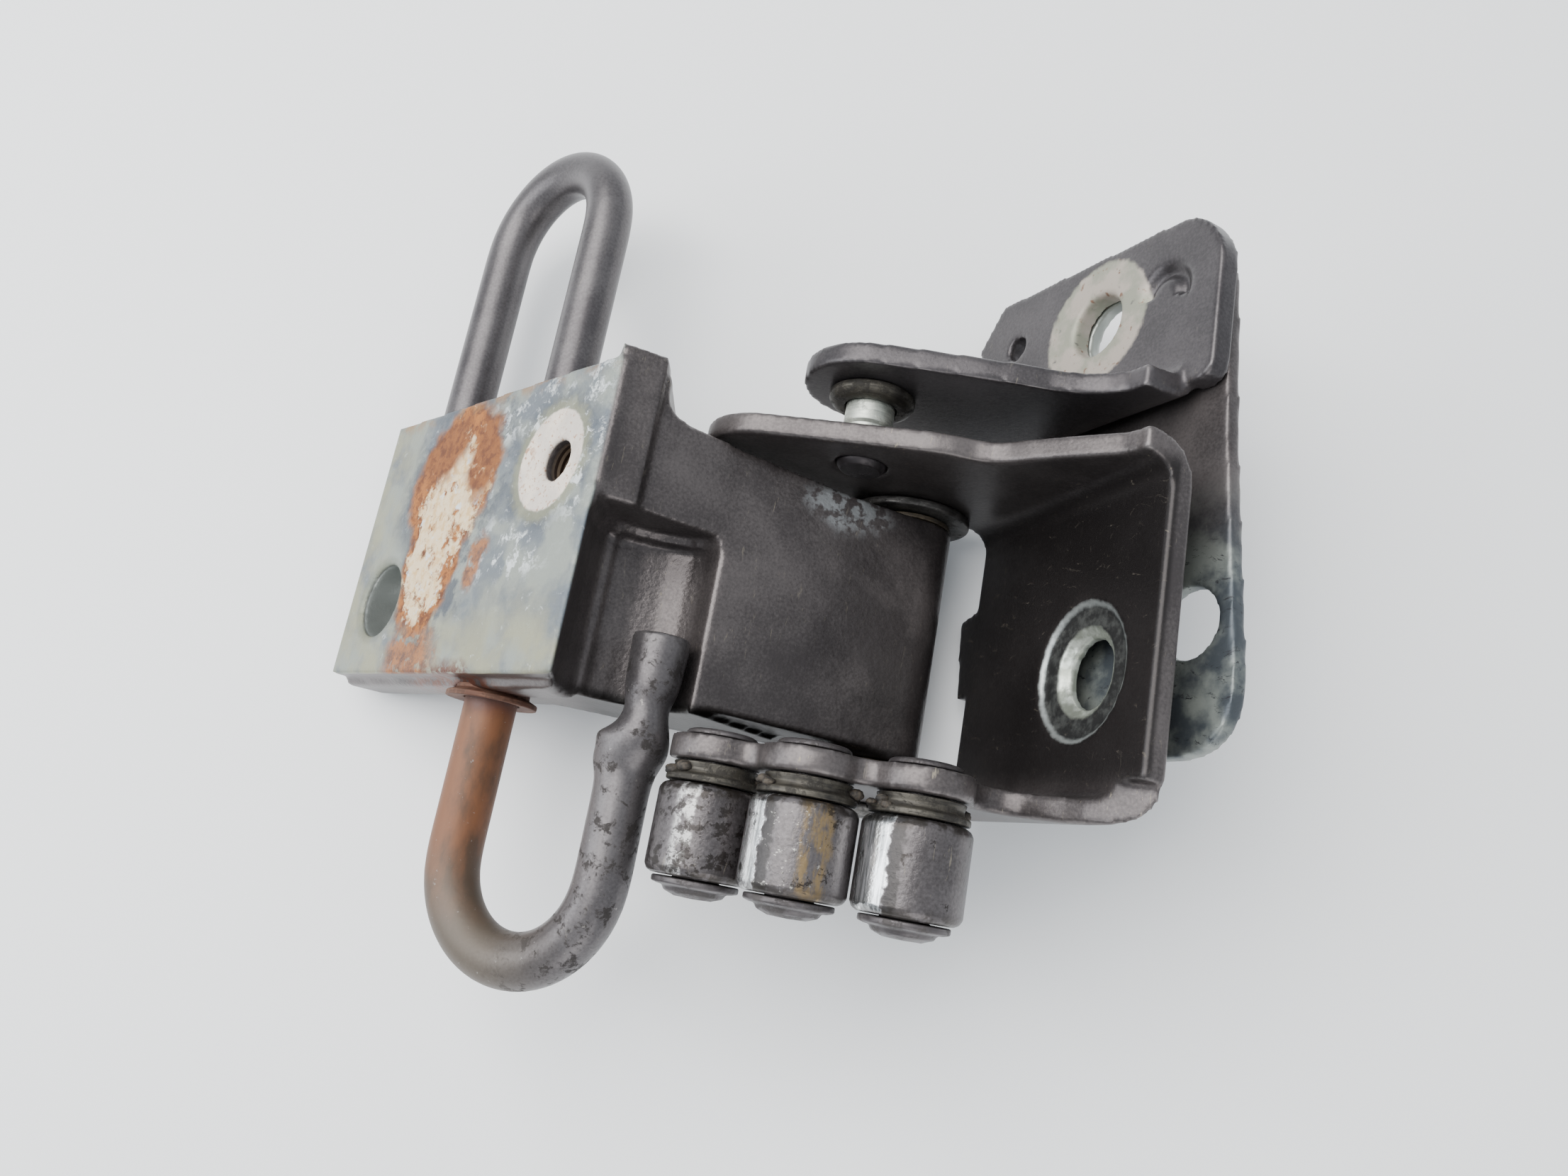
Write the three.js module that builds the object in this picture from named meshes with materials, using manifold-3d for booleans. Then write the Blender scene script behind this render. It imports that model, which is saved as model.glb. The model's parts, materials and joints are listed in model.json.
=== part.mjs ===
// Car-door hinge with a built-in door check, lying on its side: the hinge axis runs along +Y.
// Millimetres, +Z up. Inside the "hinge" group the hinge pin's axis is x = 0, z = 0.
import * as THREE from "three";
import { mergeVertices } from "three/addons/utils/BufferGeometryUtils.js";
import Module from "manifold-3d";

const wasm = await Module();
wasm.setup();

// Driving dimensions
const fit = 0.3; // gap between neighbouring pieces
const sheet = 4.2; // thickness of the pressed brackets
const roundSides = 40;

const foot = {
  left: [-116.3, -23.8],
  right: [-58.4, 39.2],
  height: 58.2,
  plate: 13.5,
  core: 24.5,
  coreStart: 37,
};
const arm = { kneeX: -49.5, kneeY: 51.4, endX: -13, endY: 48.4, corner: [-34.6, 24.1] };
const knuckle = { radius: 8.9, bore: 6, bottom: 0, top: 48.4 };
const pocket = { ceiling: 31.6 };
const boltHole = { along: 13.8, y: 16.4, radius: 7.7 };
const tappedHole = { along: 71.4, y: 40.2, radius: 4.1, depth: 17 };

const rod = {
  radius: 5,
  bore: 5.4,
  anchor: [-99.5, -16],
  long: [-73.9, 6.9],
  free: [-44.6, 22.3],
  tip: [-42.6, 25.4],
};
const rodHeights = { top: 100.5, anchorEnd: 33, bottom: -30.5, kinkLow: -10.5, kinkHigh: -3, tip: 12.4 };

const pin = { radius: 4.5, head: 7.4, headHeight: 2 };
const bush = { inner: 4.8, outer: 5.7, flange: 8.4, flangeHeight: 0.9, length: 18 };
const washer = { inner: 4.8, outer: 12.3, height: 1.6 };

const upperTab = { under: 51.9, top: 51.9 + sheet };
const lowerTab = { under: -8.4, top: -8.4 + sheet };
const web = { angle: 72, inner: 17.6, near: 61.3, far: 1.4, upperBend: 9.8, lowerBend: 7 };
const webHole = { along: 41, y: 18.2, radius: 6.3, recess: 12.5, recessDepth: 1.3 };

const roller = { radius: 9, bore: 4.3, top: -12.3, bottom: -27.5, circle: 40, angles: [136, 109.5, 83] };
const rollerPin = { radius: 4, rivet: 6.3, flange: 7.4, head: 5.6, headBottom: -30.8 };

const locator = { x: -13, z: 22, radius: 4.7, lowerRivet: 4.4, collar: 8.3 };
const rearTab = { under: 66.6, top: 66.6 + sheet, rounding: 13.5 };
const rear = { angle: 64, front: 41.3, basePlate: 3, bend: 8 };
const rearHole = { radius: 6.3, upper: [19.5, 90.2], lower: [45.6, 27.3] };

const lean = 8.85; // turn about the hinge axis that lays the hinge level
const origin = [29.46, -35.23, 16.19];

// Helpers
const degrees = (angle) => (angle * Math.PI) / 180;
const at = ([x, z], [dx, dz], distance) => [x + dx * distance, z + dz * distance];
const heading = (angle) => [Math.cos(degrees(angle)), Math.sin(degrees(angle))];
const behind = (angle) => [Math.sin(degrees(angle)), -Math.cos(degrees(angle))];

function solid(geometry) {
  const bare = new THREE.BufferGeometry();
  const loose = geometry.index ? geometry.toNonIndexed() : geometry;
  bare.setAttribute("position", loose.getAttribute("position"));
  const merged = mergeVertices(bare, 1e-4);
  return new wasm.Manifold(
    new wasm.Mesh({
      numProp: 3,
      vertProperties: merged.attributes.position.array,
      triVerts: new Uint32Array(merged.index.array),
    }),
  );
}

function toGeometry(body) {
  const mesh = body.getMesh();
  const geometry = new THREE.BufferGeometry();
  geometry.setAttribute("position", new THREE.BufferAttribute(mesh.vertProperties, 3));
  geometry.setIndex(new THREE.BufferAttribute(mesh.triVerts, 1));
  const flat = geometry.toNonIndexed();
  flat.computeVertexNormals();
  return flat;
}

const joined = (first, ...rest) => rest.reduce((sum, next) => sum.add(next), first);
const cut = (body, ...tools) => tools.reduce((left, tool) => left.subtract(tool), body);

// A plan outline given as [x, z] points, raised from y = low to y = high.
function slab(outline, low, high) {
  const shape = new THREE.Shape(outline.map(([x, z]) => new THREE.Vector2(x, -z)));
  const settings = { depth: high - low, bevelEnabled: false, curveSegments: 10 };
  const geometry = new THREE.ExtrudeGeometry(shape, settings);
  geometry.rotateX(-Math.PI / 2);
  geometry.translate(0, low, 0);
  return solid(geometry);
}

// A round post or hole along y.
function post([x, z], radius, low, high, sides = roundSides) {
  const geometry = new THREE.CylinderGeometry(radius, radius, high - low, sides);
  geometry.translate(x, (low + high) / 2, z);
  return solid(geometry);
}

// A round hole through an upright face that runs along the plan direction "angle".
function crossHole(start, angle, along, y, radius, from, to) {
  const geometry = new THREE.CylinderGeometry(radius, radius, to - from, roundSides);
  geometry.translate(0, (from + to) / 2, 0);
  geometry.rotateZ(-Math.PI / 2);
  geometry.rotateY(Math.PI / 2 - degrees(angle));
  const [x, z] = at(start, heading(angle), along);
  geometry.translate(x, y, z);
  return solid(geometry);
}

// A turned piece about the vertical line through [x, z]; its profile holds [radius, y] pairs.
function turned([x, z], profile, sides = roundSides) {
  const points = profile.map(([radius, y]) => new THREE.Vector2(radius, y));
  const geometry = new THREE.LatheGeometry([...points, points[0].clone()], sides);
  geometry.translate(x, 0, z);
  return solid(geometry);
}

const ring = (centre, inner, outer, low, high) =>
  turned(centre, [[inner, low], [outer, low], [outer, high], [inner, high]]);

// Points of an arc in plan, from one angle to another.
function arcPoints([x, z], radius, from, to, steps) {
  return Array.from({ length: steps + 1 }, (_, i) =>
    at([x, z], heading(from + ((to - from) * i) / steps), radius),
  );
}

// A slab of a plate that stands upright: the outline holds [along, y] pairs.
function upright(start, angle, outline, near, far) {
  const shape = new THREE.Shape(outline.map(([along, y]) => new THREE.Vector2(along, y)));
  const geometry = new THREE.ExtrudeGeometry(shape, { depth: far - near, bevelEnabled: false });
  geometry.translate(0, 0, -far);
  const [ux, uz] = heading(angle);
  const [nx, nz] = behind(angle);
  const basis = new THREE.Matrix4().makeBasis(
    new THREE.Vector3(ux, 0, uz),
    new THREE.Vector3(0, 1, 0),
    new THREE.Vector3(-nx, 0, -nz),
  );
  basis.setPosition(start[0], 0, start[1]);
  geometry.applyMatrix4(basis);
  return solid(geometry);
}

// Corner points of an outline, with a rounded corner where a radius is given.
function rounded(corners) {
  const points = [];
  corners.forEach(([x, y, radius = 0], i) => {
    const [px, py] = corners[(i + corners.length - 1) % corners.length];
    const [nx, ny] = corners[(i + 1) % corners.length];
    if (radius === 0) {
      points.push([x, y]);
      return;
    }
    const here = new THREE.Vector2(x, y);
    const toPrev = new THREE.Vector2(px - x, py - y).normalize();
    const toNext = new THREE.Vector2(nx - x, ny - y).normalize();
    const half = Math.acos(THREE.MathUtils.clamp(toPrev.dot(toNext), -1, 1)) / 2;
    const reach = radius / Math.tan(half);
    const start = here.clone().addScaledVector(toPrev, reach);
    const end = here.clone().addScaledVector(toNext, reach);
    const curve = new THREE.QuadraticBezierCurve(start, here, end);
    curve.getPoints(6).forEach((point) => points.push([point.x, point.y]));
  });
  return points;
}

// Pillar leaf
const footAngle = THREE.MathUtils.radToDeg(
  Math.atan2(foot.right[1] - foot.left[1], foot.right[0] - foot.left[0]),
);
const footLength = Math.hypot(foot.right[0] - foot.left[0], foot.right[1] - foot.left[1]);
const onFoot = (along, depth) => at(at(foot.left, heading(footAngle), along), behind(footAngle), depth);

const footHole = ({ along, y, radius }, depth) =>
  crossHole(foot.left, footAngle, along, y, radius, -2, depth);

function footBlock() {
  const plate = [
    onFoot(0, 0),
    onFoot(footLength, 0),
    onFoot(footLength, foot.plate),
    onFoot(0, foot.plate),
  ];
  const core = [
    onFoot(foot.coreStart, foot.plate - 1),
    onFoot(footLength, 5),
    arm.corner,
    [-20, 6],
    [-26, -12],
    onFoot(52, foot.core),
    onFoot(foot.coreStart + 6, foot.core),
  ];
  const ear = [onFoot(footLength - 1.5, 0.6), [-50.2, 34.2], [-54, 24], onFoot(footLength - 14, 9)];
  return joined(slab(plate, 0, foot.height), slab(core, 0, foot.height), slab(ear, 10, foot.height + 2.6));
}

function armBody() {
  const outline = [arm.corner, [3.6, 8.1], [0, -8.8], [-24, -13], [-40, -4]];
  return joined(
    slab(outline, 1.2, foot.height),
    post([0, 0], knuckle.radius, knuckle.bottom, foot.height),
  );
}

// Everything above the arm's sloping top edge, with the round corner where the arm leaves the foot.
function armTopWaste() {
  const outline = rounded([
    [arm.kneeX, 80],
    [arm.kneeX, arm.kneeY, 4],
    [arm.endX, arm.endY],
    [40, arm.endY],
    [40, 80],
  ]);
  const shape = new THREE.Shape(outline.map(([x, y]) => new THREE.Vector2(x, y)));
  const geometry = new THREE.ExtrudeGeometry(shape, { depth: 120, bevelEnabled: false });
  geometry.translate(0, 0, -60);
  return solid(geometry);
}

// The hollow in the arm's front that the rod's free end lies in.
function pocketWaste() {
  const outline = [
    onFoot(footLength + 8, -10),
    onFoot(footLength, 1.2),
    [-56.6, 30],
    [-54.4, 23],
    [-51, 20],
    [-46.5, 18.6],
    [-42, 18.9],
    [-38, 20.8],
    at(arm.corner, [-0.9, 0.4], 0.6),
    [-30, 48],
  ];
  return slab(outline, -2, pocket.ceiling);
}

function pillarLeaf() {
  const body = joined(footBlock(), armBody());
  return cut(
    body,
    armTopWaste(),
    pocketWaste(),
    post([0, 0], knuckle.bore, -2, 60),
    post(rod.long, rod.bore, -2, 70, 28),
    post(rod.anchor, rod.bore, rodHeights.anchorEnd - fit, 70, 28),
    footHole(boltHole, foot.plate + 2),
    footHole(tappedHole, tappedHole.depth),
  );
}

// Torsion rod: anchored leg, hairpin, long leg through the foot, lower bend, free leg with its kink
function rodRoute() {
  const bend = (from, to, y, sign) => {
    const centre = [(from[0] + to[0]) / 2, (from[1] + to[1]) / 2];
    const radius = Math.hypot(to[0] - from[0], to[1] - from[1]) / 2;
    const angles = [30, 60, 90, 120, 150];
    return angles.map((angle) => {
      const share = -Math.cos(degrees(angle));
      return new THREE.Vector3(
        centre[0] + ((to[0] - from[0]) / 2) * share,
        y + sign * radius * Math.sin(degrees(angle)),
        centre[1] + ((to[1] - from[1]) / 2) * share,
      );
    });
  };
  const onLeg = ([x, z], ...heights) => heights.map((y) => new THREE.Vector3(x, y, z));
  const { top, anchorEnd, bottom, kinkLow, kinkHigh, tip } = rodHeights;
  return [
    ...onLeg(rod.anchor, anchorEnd, 60, top - 12, top),
    ...bend(rod.anchor, rod.long, top, 1),
    ...onLeg(rod.long, top, top - 12, 60, 20, -10, bottom + 8, bottom),
    ...bend(rod.long, rod.free, bottom, -1),
    ...onLeg(rod.free, bottom, bottom + 8, kinkLow),
    ...onLeg(rod.tip, kinkHigh, 4, tip),
  ];
}

function torsionRod() {
  const circle = new THREE.Shape();
  circle.absarc(0, 0, rod.radius, 0, Math.PI * 2);
  const path = new THREE.CatmullRomCurve3(rodRoute(), false, "centripetal");
  const settings = { steps: 120, curveSegments: 6, extrudePath: path, bevelEnabled: false };
  return solid(new THREE.ExtrudeGeometry(circle, settings));
}

const rodClip = () =>
  turned(
    rod.long,
    [
      [rod.radius + fit, -2.6],
      [8.6, -2.6],
      [8.6, -1.2],
      [6.9, -0.9],
      [6.9, -0.3],
      [rod.radius + fit, -0.3],
    ],
    28,
  );

// Hinge pin, bushes and thrust washers
const pinTop = upperTab.top + fit;
const pinBottom = lowerTab.under - fit;
const hingePin = () =>
  turned([0, 0], [
    [0, pinBottom - pin.headHeight],
    [pin.head - 1.2, pinBottom - pin.headHeight],
    [pin.head, pinBottom - 1],
    [pin.head, pinBottom],
    [pin.radius, pinBottom],
    [pin.radius, pinTop],
    [pin.head, pinTop],
    [pin.head, pinTop + 1],
    [pin.head - 1.2, pinTop + pin.headHeight],
    [0, pinTop + pin.headHeight],
  ]);

// A flanged bush: "out" is +1 where the flange is above the knuckle and -1 where it is below.
function flangedBush(face, out) {
  const flange = face + out * fit;
  const profile = [
    [bush.inner, face - out * bush.length],
    [bush.outer, face - out * bush.length],
    [bush.outer, flange],
    [bush.flange, flange],
    [bush.flange, flange + out * bush.flangeHeight],
    [bush.inner, flange + out * bush.flangeHeight],
  ];
  return turned([0, 0], out > 0 ? profile : profile.reverse());
}

function thrustWasher(face, out) {
  const near = face + out * (fit + bush.flangeHeight + fit);
  const far = near + out * washer.height;
  return ring([0, 0], washer.inner, washer.outer, Math.min(near, far), Math.max(near, far));
}

// Roller bracket: a channel of bent sheet, its web and two tabs
const webStart = at([0, 0], behind(web.angle), 0);
const webOuter = web.inner + sheet;

function channelSection() {
  const middle = (upperTab.top + lowerTab.under) / 2;
  const reach = webOuter - web.upperBend;
  const outline = rounded([
    [reach, upperTab.under],
    [web.inner, upperTab.under, web.upperBend - sheet],
    [web.inner, middle],
    [web.inner, lowerTab.top, web.lowerBend - sheet],
    [reach, lowerTab.top],
    [reach, lowerTab.under],
    [webOuter, lowerTab.under, web.lowerBend],
    [webOuter, middle],
    [webOuter, upperTab.top, web.upperBend],
    [reach, upperTab.top],
  ]);
  const shape = new THREE.Shape(outline.map(([n, y]) => new THREE.Vector2(n, y)));
  const geometry = new THREE.ExtrudeGeometry(shape, { depth: web.near - web.far, bevelEnabled: false });
  geometry.translate(0, 0, web.far);
  const [ux, uz] = heading(web.angle);
  const [nx, nz] = behind(web.angle);
  geometry.applyMatrix4(
    new THREE.Matrix4().makeBasis(
      new THREE.Vector3(nx, 0, nz),
      new THREE.Vector3(0, 1, 0),
      new THREE.Vector3(ux, 0, uz),
    ),
  );
  return geometry;
}

// A point on the web's plan: "along" the web and "out" from the hinge axis.
const onWeb = (along, out) => at(at(webStart, heading(web.angle), along), behind(web.angle), out);
const rollerCentre = (angle) => at([0, 0], heading(angle), roller.circle);

function upperTabPlan() {
  return [
    ...arcPoints([-30, 17.5], 13, 105, 190, 8),
    ...arcPoints([0, 0], 13.5, 235, 300, 6),
    onWeb(web.far, webOuter - web.upperBend + 0.5),
    onWeb(web.near, webOuter - web.upperBend + 0.5),
    [28.2, 50.4],
    [12.7, 39.2],
    [9, 36.6],
    [-1.5, 35.9],
  ];
}

// Each roller pin sits in a rounded lobe; between lobes the edge dips inwards.
function lowerTabPlan() {
  const lobe = (angle) => arcPoints(rollerCentre(angle), 8.4, angle + 62, angle - 62, 8);
  const dip = (angle) => arcPoints([0, 0], 42.8, angle + 2.4, angle - 2.4, 2);
  const [first, second, third] = roller.angles;
  const frontEdge = [
    ...lobe(first),
    ...dip((first + second) / 2),
    ...lobe(second),
    ...dip((second + third) / 2),
    ...lobe(third),
  ];
  return [
    ...frontEdge,
    [14.8, 34.5],
    [19, 34.2],
    [24.5, 37.5],
    onWeb(web.near - 3.5, webOuter - web.upperBend + 0.5),
    onWeb(web.far, webOuter - web.upperBend + 0.5),
    ...arcPoints([0, 0], 13.5, 300, 215, 8),
    [-33, 17],
  ];
}

const holeInWeb = (radius, depth) =>
  crossHole([0, 0], web.angle, webHole.along, webHole.y, radius, 10, depth);

// The lower bend is trimmed on a slant at the web's near end.
const bendTrim = () =>
  slab(
    [
      [24.5, 37.6],
      [27.6, 40.3],
      [30.2, 43.4],
      [40.6, 52.1],
      [46, 75],
      [22, 75],
    ],
    -12,
    -1.2,
  );

// The web's far edge has a heel halfway up.
const webHeel = () =>
  upright([0, 0], web.angle, [[4, 16.4], [-2.2, 16.8], [-5, 33.8], [4, 35.4]], web.inner, webOuter);

function rollerBracket() {
  const body = joined(
    solid(channelSection()),
    webHeel(),
    slab(upperTabPlan(), upperTab.under, upperTab.top),
    slab(lowerTabPlan(), lowerTab.under, lowerTab.top),
  );
  const pinHole = pin.radius + fit;
  return cut(
    body,
    bendTrim(),
    post([0, 0], pinHole, -20, 70),
    post([locator.x, locator.z], locator.radius + fit, 40, 70),
    ...roller.angles.map((angle) => post(rollerCentre(angle), rollerPin.radius + fit, -20, 5, 28)),
    holeInWeb(webHole.radius, 30),
    holeInWeb(webHole.recess, web.inner + webHole.recessDepth),
  );
}

// Rollers on their riveted pins
const rollerSleeve = (angle) =>
  turned(rollerCentre(angle), [
    [roller.bore, roller.bottom],
    [roller.radius - 0.8, roller.bottom],
    [roller.radius, roller.bottom + 0.8],
    [roller.radius, roller.top - 0.8],
    [roller.radius - 0.8, roller.top],
    [roller.bore, roller.top],
  ]);

const rollerCollar = (angle) =>
  turned(rollerCentre(angle), [
    [roller.bore, roller.top + fit],
    [8.2, roller.top + fit],
    [8.2, roller.top + 1.4],
    [7.4, roller.top + 1.7],
    [7.4, lowerTab.under - fit],
    [roller.bore, lowerTab.under - fit],
  ], 32);

const rollerRivet = (angle) =>
  turned(rollerCentre(angle), [
    [0, rollerPin.headBottom],
    [rollerPin.head - 1.6, rollerPin.headBottom + 0.3],
    [rollerPin.head, rollerPin.headBottom + 1.5],
    [rollerPin.flange, rollerPin.headBottom + 1.7],
    [rollerPin.flange, roller.bottom - fit],
    [rollerPin.radius, roller.bottom - fit],
    [rollerPin.radius, lowerTab.top + fit],
    [rollerPin.rivet, lowerTab.top + fit],
    [rollerPin.rivet - 0.4, lowerTab.top + 1.1],
    [0, lowerTab.top + 1.4],
  ], 32);

// Locating pin and its collar
const locatorAxis = [locator.x, locator.z];
const locatingPin = () =>
  turned(locatorAxis, [
    [0, upperTab.under - 0.9],
    [locator.lowerRivet, upperTab.under - 0.9],
    [locator.radius, upperTab.under + 0.2],
    [locator.radius, rearTab.top],
    [locator.radius - 0.8, rearTab.top + 0.9],
    [0, rearTab.top + 0.9],
  ]);
const locatingCollar = () =>
  turned(locatorAxis, [
    [locator.radius + fit, rearTab.under - fit - 2.6],
    [locator.collar - 1.2, rearTab.under - fit - 2.6],
    [locator.collar, rearTab.under - fit - 1.2],
    [locator.collar, rearTab.under - fit],
    [locator.radius + fit, rearTab.under - fit],
  ]);

// Door bracket: a tab and an upright bent from one sheet, with a flat plate behind it
const rearStart = at(locatorAxis, heading(rear.angle), -1.6);
const onRear = (along, out) => at(at(rearStart, heading(rear.angle), along), behind(rear.angle), out);
const uprightFront = rear.front - fit - sheet;

function rearTabPlan() {
  return [
    ...arcPoints([locator.x, locator.z + 1], rearTab.rounding, 95, 235, 10),
    onRear(-14, uprightFront - rear.bend + 1),
    onRear(-10, uprightFront - rear.bend + sheet + 1),
    onRear(44, uprightFront - rear.bend + sheet + 1),
    onRear(44, uprightFront - rear.bend),
    [26, 41.4],
    [17, 38.6],
    [4.8, 38],
  ];
}

function rearBend() {
  const back = uprightFront + sheet;
  const outline = rounded([
    [back - rear.bend - 1, rearTab.under],
    [back, rearTab.under, rear.bend],
    [back, rearTab.under + rear.bend + 4],
    [uprightFront, rearTab.under + rear.bend + 4],
    [uprightFront, rearTab.top, rear.bend - sheet],
    [back - rear.bend - 1, rearTab.top],
  ]);
  const shape = new THREE.Shape(outline.map(([n, y]) => new THREE.Vector2(n, y)));
  const geometry = new THREE.ExtrudeGeometry(shape, { depth: 54, bevelEnabled: false });
  geometry.translate(0, 0, -10);
  const [ux, uz] = heading(rear.angle);
  const [nx, nz] = behind(rear.angle);
  const basis = new THREE.Matrix4().makeBasis(
    new THREE.Vector3(nx, 0, nz),
    new THREE.Vector3(0, 1, 0),
    new THREE.Vector3(ux, 0, uz),
  );
  basis.setPosition(rearStart[0], 0, rearStart[1]);
  geometry.applyMatrix4(basis);
  return solid(geometry);
}

const holeInUpright = ([along, y], radius) =>
  crossHole(rearStart, rear.angle, along, y, radius, uprightFront - 5, uprightFront + 10);

function doorBracket() {
  const foldLine = rearTab.under + rear.bend;
  const outline = rounded([
    [-10, foldLine],
    [44, foldLine],
    [44.5, rearTab.under + 2.8, 1],
    [50.4, rearTab.under + 2.8, 4],
    [50.4, 95, 12],
    [44, 104.5, 9],
    [-12, 106.5, 2],
    [-18.5, 98],
    [-16, foldLine + 6],
  ]);
  return cut(
    joined(
      upright(rearStart, rear.angle, outline, uprightFront, uprightFront + sheet),
      rearBend(),
      slab(rearTabPlan(), rearTab.under, rearTab.top),
    ),
    post(locatorAxis, locator.radius + fit, 50, 90),
    holeInUpright(rearHole.upper, rearHole.radius),
    holeInUpright([-5.2, 93.8], 2.6),
  );
}

function doorPlate() {
  const outline = rounded([
    [5, 12, 3],
    [11, 4.5, 4],
    [58, 4.5, 13],
    [50.8, 60, 0],
    [48, 92, 9],
    [42, 103, 6],
    [4, 102, 3],
    [0.5, 98, 2],
    [0.5, 60, 0],
    [5, 56, 0],
  ]);
  return cut(
    upright(rearStart, rear.angle, outline, rear.front, rear.front + rear.basePlate),
    crossHole(rearStart, rear.angle, ...rearHole.upper, rearHole.radius, rear.front - 2, rear.front + 10),
    crossHole(rearStart, rear.angle, ...rearHole.lower, rearHole.radius, rear.front - 2, rear.front + 10),
  );
}

// Materials
const paint = { color: 0x5a5456, roughness: 0.45, metalness: 0.6 };
const castPaint = { color: 0x4e494b, roughness: 0.5, metalness: 0.6 };
const bareSteel = { color: 0x8f8c88, roughness: 0.35, metalness: 0.9 };
const zinc = { color: 0xb9beb4, roughness: 0.4, metalness: 0.8 };
const darkSteel = { color: 0x35332f, roughness: 0.6, metalness: 0.7 };
const bronze = { color: 0x7d6a4a, roughness: 0.5, metalness: 0.7 };
const rusty = { color: 0x7a5138, roughness: 0.7, metalness: 0.4 };

const hinge = new THREE.Group();
hinge.rotation.y = degrees(lean);
hinge.position.set(...origin);

function addPiece(name, body, look) {
  const mesh = new THREE.Mesh(toGeometry(body), new THREE.MeshStandardMaterial(look));
  mesh.name = name;
  hinge.add(mesh);
}

addPiece("pillar_leaf", pillarLeaf(), castPaint);
addPiece("torsion_rod", torsionRod(), castPaint);
addPiece("rod_clip", rodClip(), rusty);
addPiece("hinge_pin", hingePin(), bareSteel);
addPiece("upper_bush", flangedBush(knuckle.top, 1), bronze);
addPiece("lower_bush", flangedBush(knuckle.bottom, -1), bronze);
addPiece("upper_thrust_washer", thrustWasher(knuckle.top, 1), darkSteel);
addPiece("lower_thrust_washer", thrustWasher(knuckle.bottom, -1), darkSteel);
addPiece("roller_bracket", rollerBracket(), paint);
roller.angles.forEach((angle, i) => {
  addPiece(`roller_${i + 1}`, rollerSleeve(angle), bareSteel);
  addPiece(`roller_collar_${i + 1}`, rollerCollar(angle), darkSteel);
  addPiece(`roller_rivet_${i + 1}`, rollerRivet(angle), paint);
});
addPiece("locating_pin", locatingPin(), zinc);
addPiece("locating_collar", locatingCollar(), darkSteel);
addPiece("door_bracket", doorBracket(), paint);
addPiece("door_plate", doorPlate(), zinc);

const group = new THREE.Group();
group.name = "door_hinge";
group.add(hinge);

export default group;
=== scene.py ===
import json
import math
import random
import bpy
import bmesh
from mathutils import Matrix, Vector


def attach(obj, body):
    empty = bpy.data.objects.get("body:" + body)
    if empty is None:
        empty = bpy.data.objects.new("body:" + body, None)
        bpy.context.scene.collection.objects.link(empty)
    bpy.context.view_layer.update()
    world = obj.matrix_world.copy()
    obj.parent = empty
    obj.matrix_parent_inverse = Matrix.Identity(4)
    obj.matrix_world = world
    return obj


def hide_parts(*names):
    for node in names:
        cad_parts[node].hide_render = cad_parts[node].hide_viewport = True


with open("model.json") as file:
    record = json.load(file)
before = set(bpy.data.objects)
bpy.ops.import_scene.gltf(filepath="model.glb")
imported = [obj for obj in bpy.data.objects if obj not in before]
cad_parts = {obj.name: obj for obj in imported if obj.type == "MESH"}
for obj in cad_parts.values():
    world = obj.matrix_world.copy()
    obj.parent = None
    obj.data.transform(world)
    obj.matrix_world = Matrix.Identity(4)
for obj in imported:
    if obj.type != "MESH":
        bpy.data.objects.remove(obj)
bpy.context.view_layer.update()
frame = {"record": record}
scene = bpy.context.scene

# The hinge lies on its side, turned by this much about its own pin
lean = math.radians(8.85)
swingJoint = frame["record"]["behaviour"]["joints"][0]
pinPoint = Vector(swingJoint["pos_m"]) - Vector((0, 0.024, 0))
pinFrame = Matrix.Translation(pinPoint) @ Matrix.Rotation(lean, 4, "Y")
toPlace = pinFrame @ Matrix.Scale(0.001, 4)


def heading(angle):
    return Vector((math.cos(math.radians(angle)), math.sin(math.radians(angle))))


def behind(angle):
    return Vector((math.sin(math.radians(angle)), -math.cos(math.radians(angle))))


def arc(centre, radius, start, end, steps):
    return [
        tuple(Vector(centre) + heading(start + (end - start) * i / steps) * radius)
        for i in range(steps + 1)
    ]


def roundCorners(corners):
    # Each corner is (x, y) or (x, y, radius)
    points = []
    for i, corner in enumerate(corners):
        here = Vector(corner[:2])
        radius = corner[2] if len(corner) > 2 else 0
        if radius == 0:
            points.append(tuple(here))
            continue
        back = (Vector(corners[i - 1][:2]) - here).normalized()
        ahead = (Vector(corners[(i + 1) % len(corners)][:2]) - here).normalized()
        reach = radius / math.tan(back.angle(ahead) / 2)
        start = here + back * reach
        end = here + ahead * reach
        for step in range(9):
            share = step / 8
            curve = start * (1 - share) ** 2 + here * 2 * share * (1 - share) + end * share**2
            points.append(tuple(curve))
    return points


# --- camera ---
cameraLook = {
    "place": (-23.1, -24.7, 223.8),
    "right": (0.98334, 0.17628, 0.04431),
    "up": (-0.18176, 0.95368, 0.23971),
    "lens": 26.04,
}


def makeCamera():
    camera = bpy.data.objects.new("camera", bpy.data.cameras.new("camera"))
    scene.collection.objects.link(camera)
    right = Vector(cameraLook["right"]).normalized()
    up = Vector(cameraLook["up"])
    up = (up - right * up.dot(right)).normalized()
    turn = Matrix((right, up, right.cross(up))).transposed().to_4x4()
    camera.matrix_world = pinFrame @ Matrix.Translation(Vector(cameraLook["place"]) * 0.001) @ turn
    camera.data.lens = cameraLook["lens"]
    camera.data.sensor_width = 36
    camera.data.clip_start = 0.01
    scene.camera = camera


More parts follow.
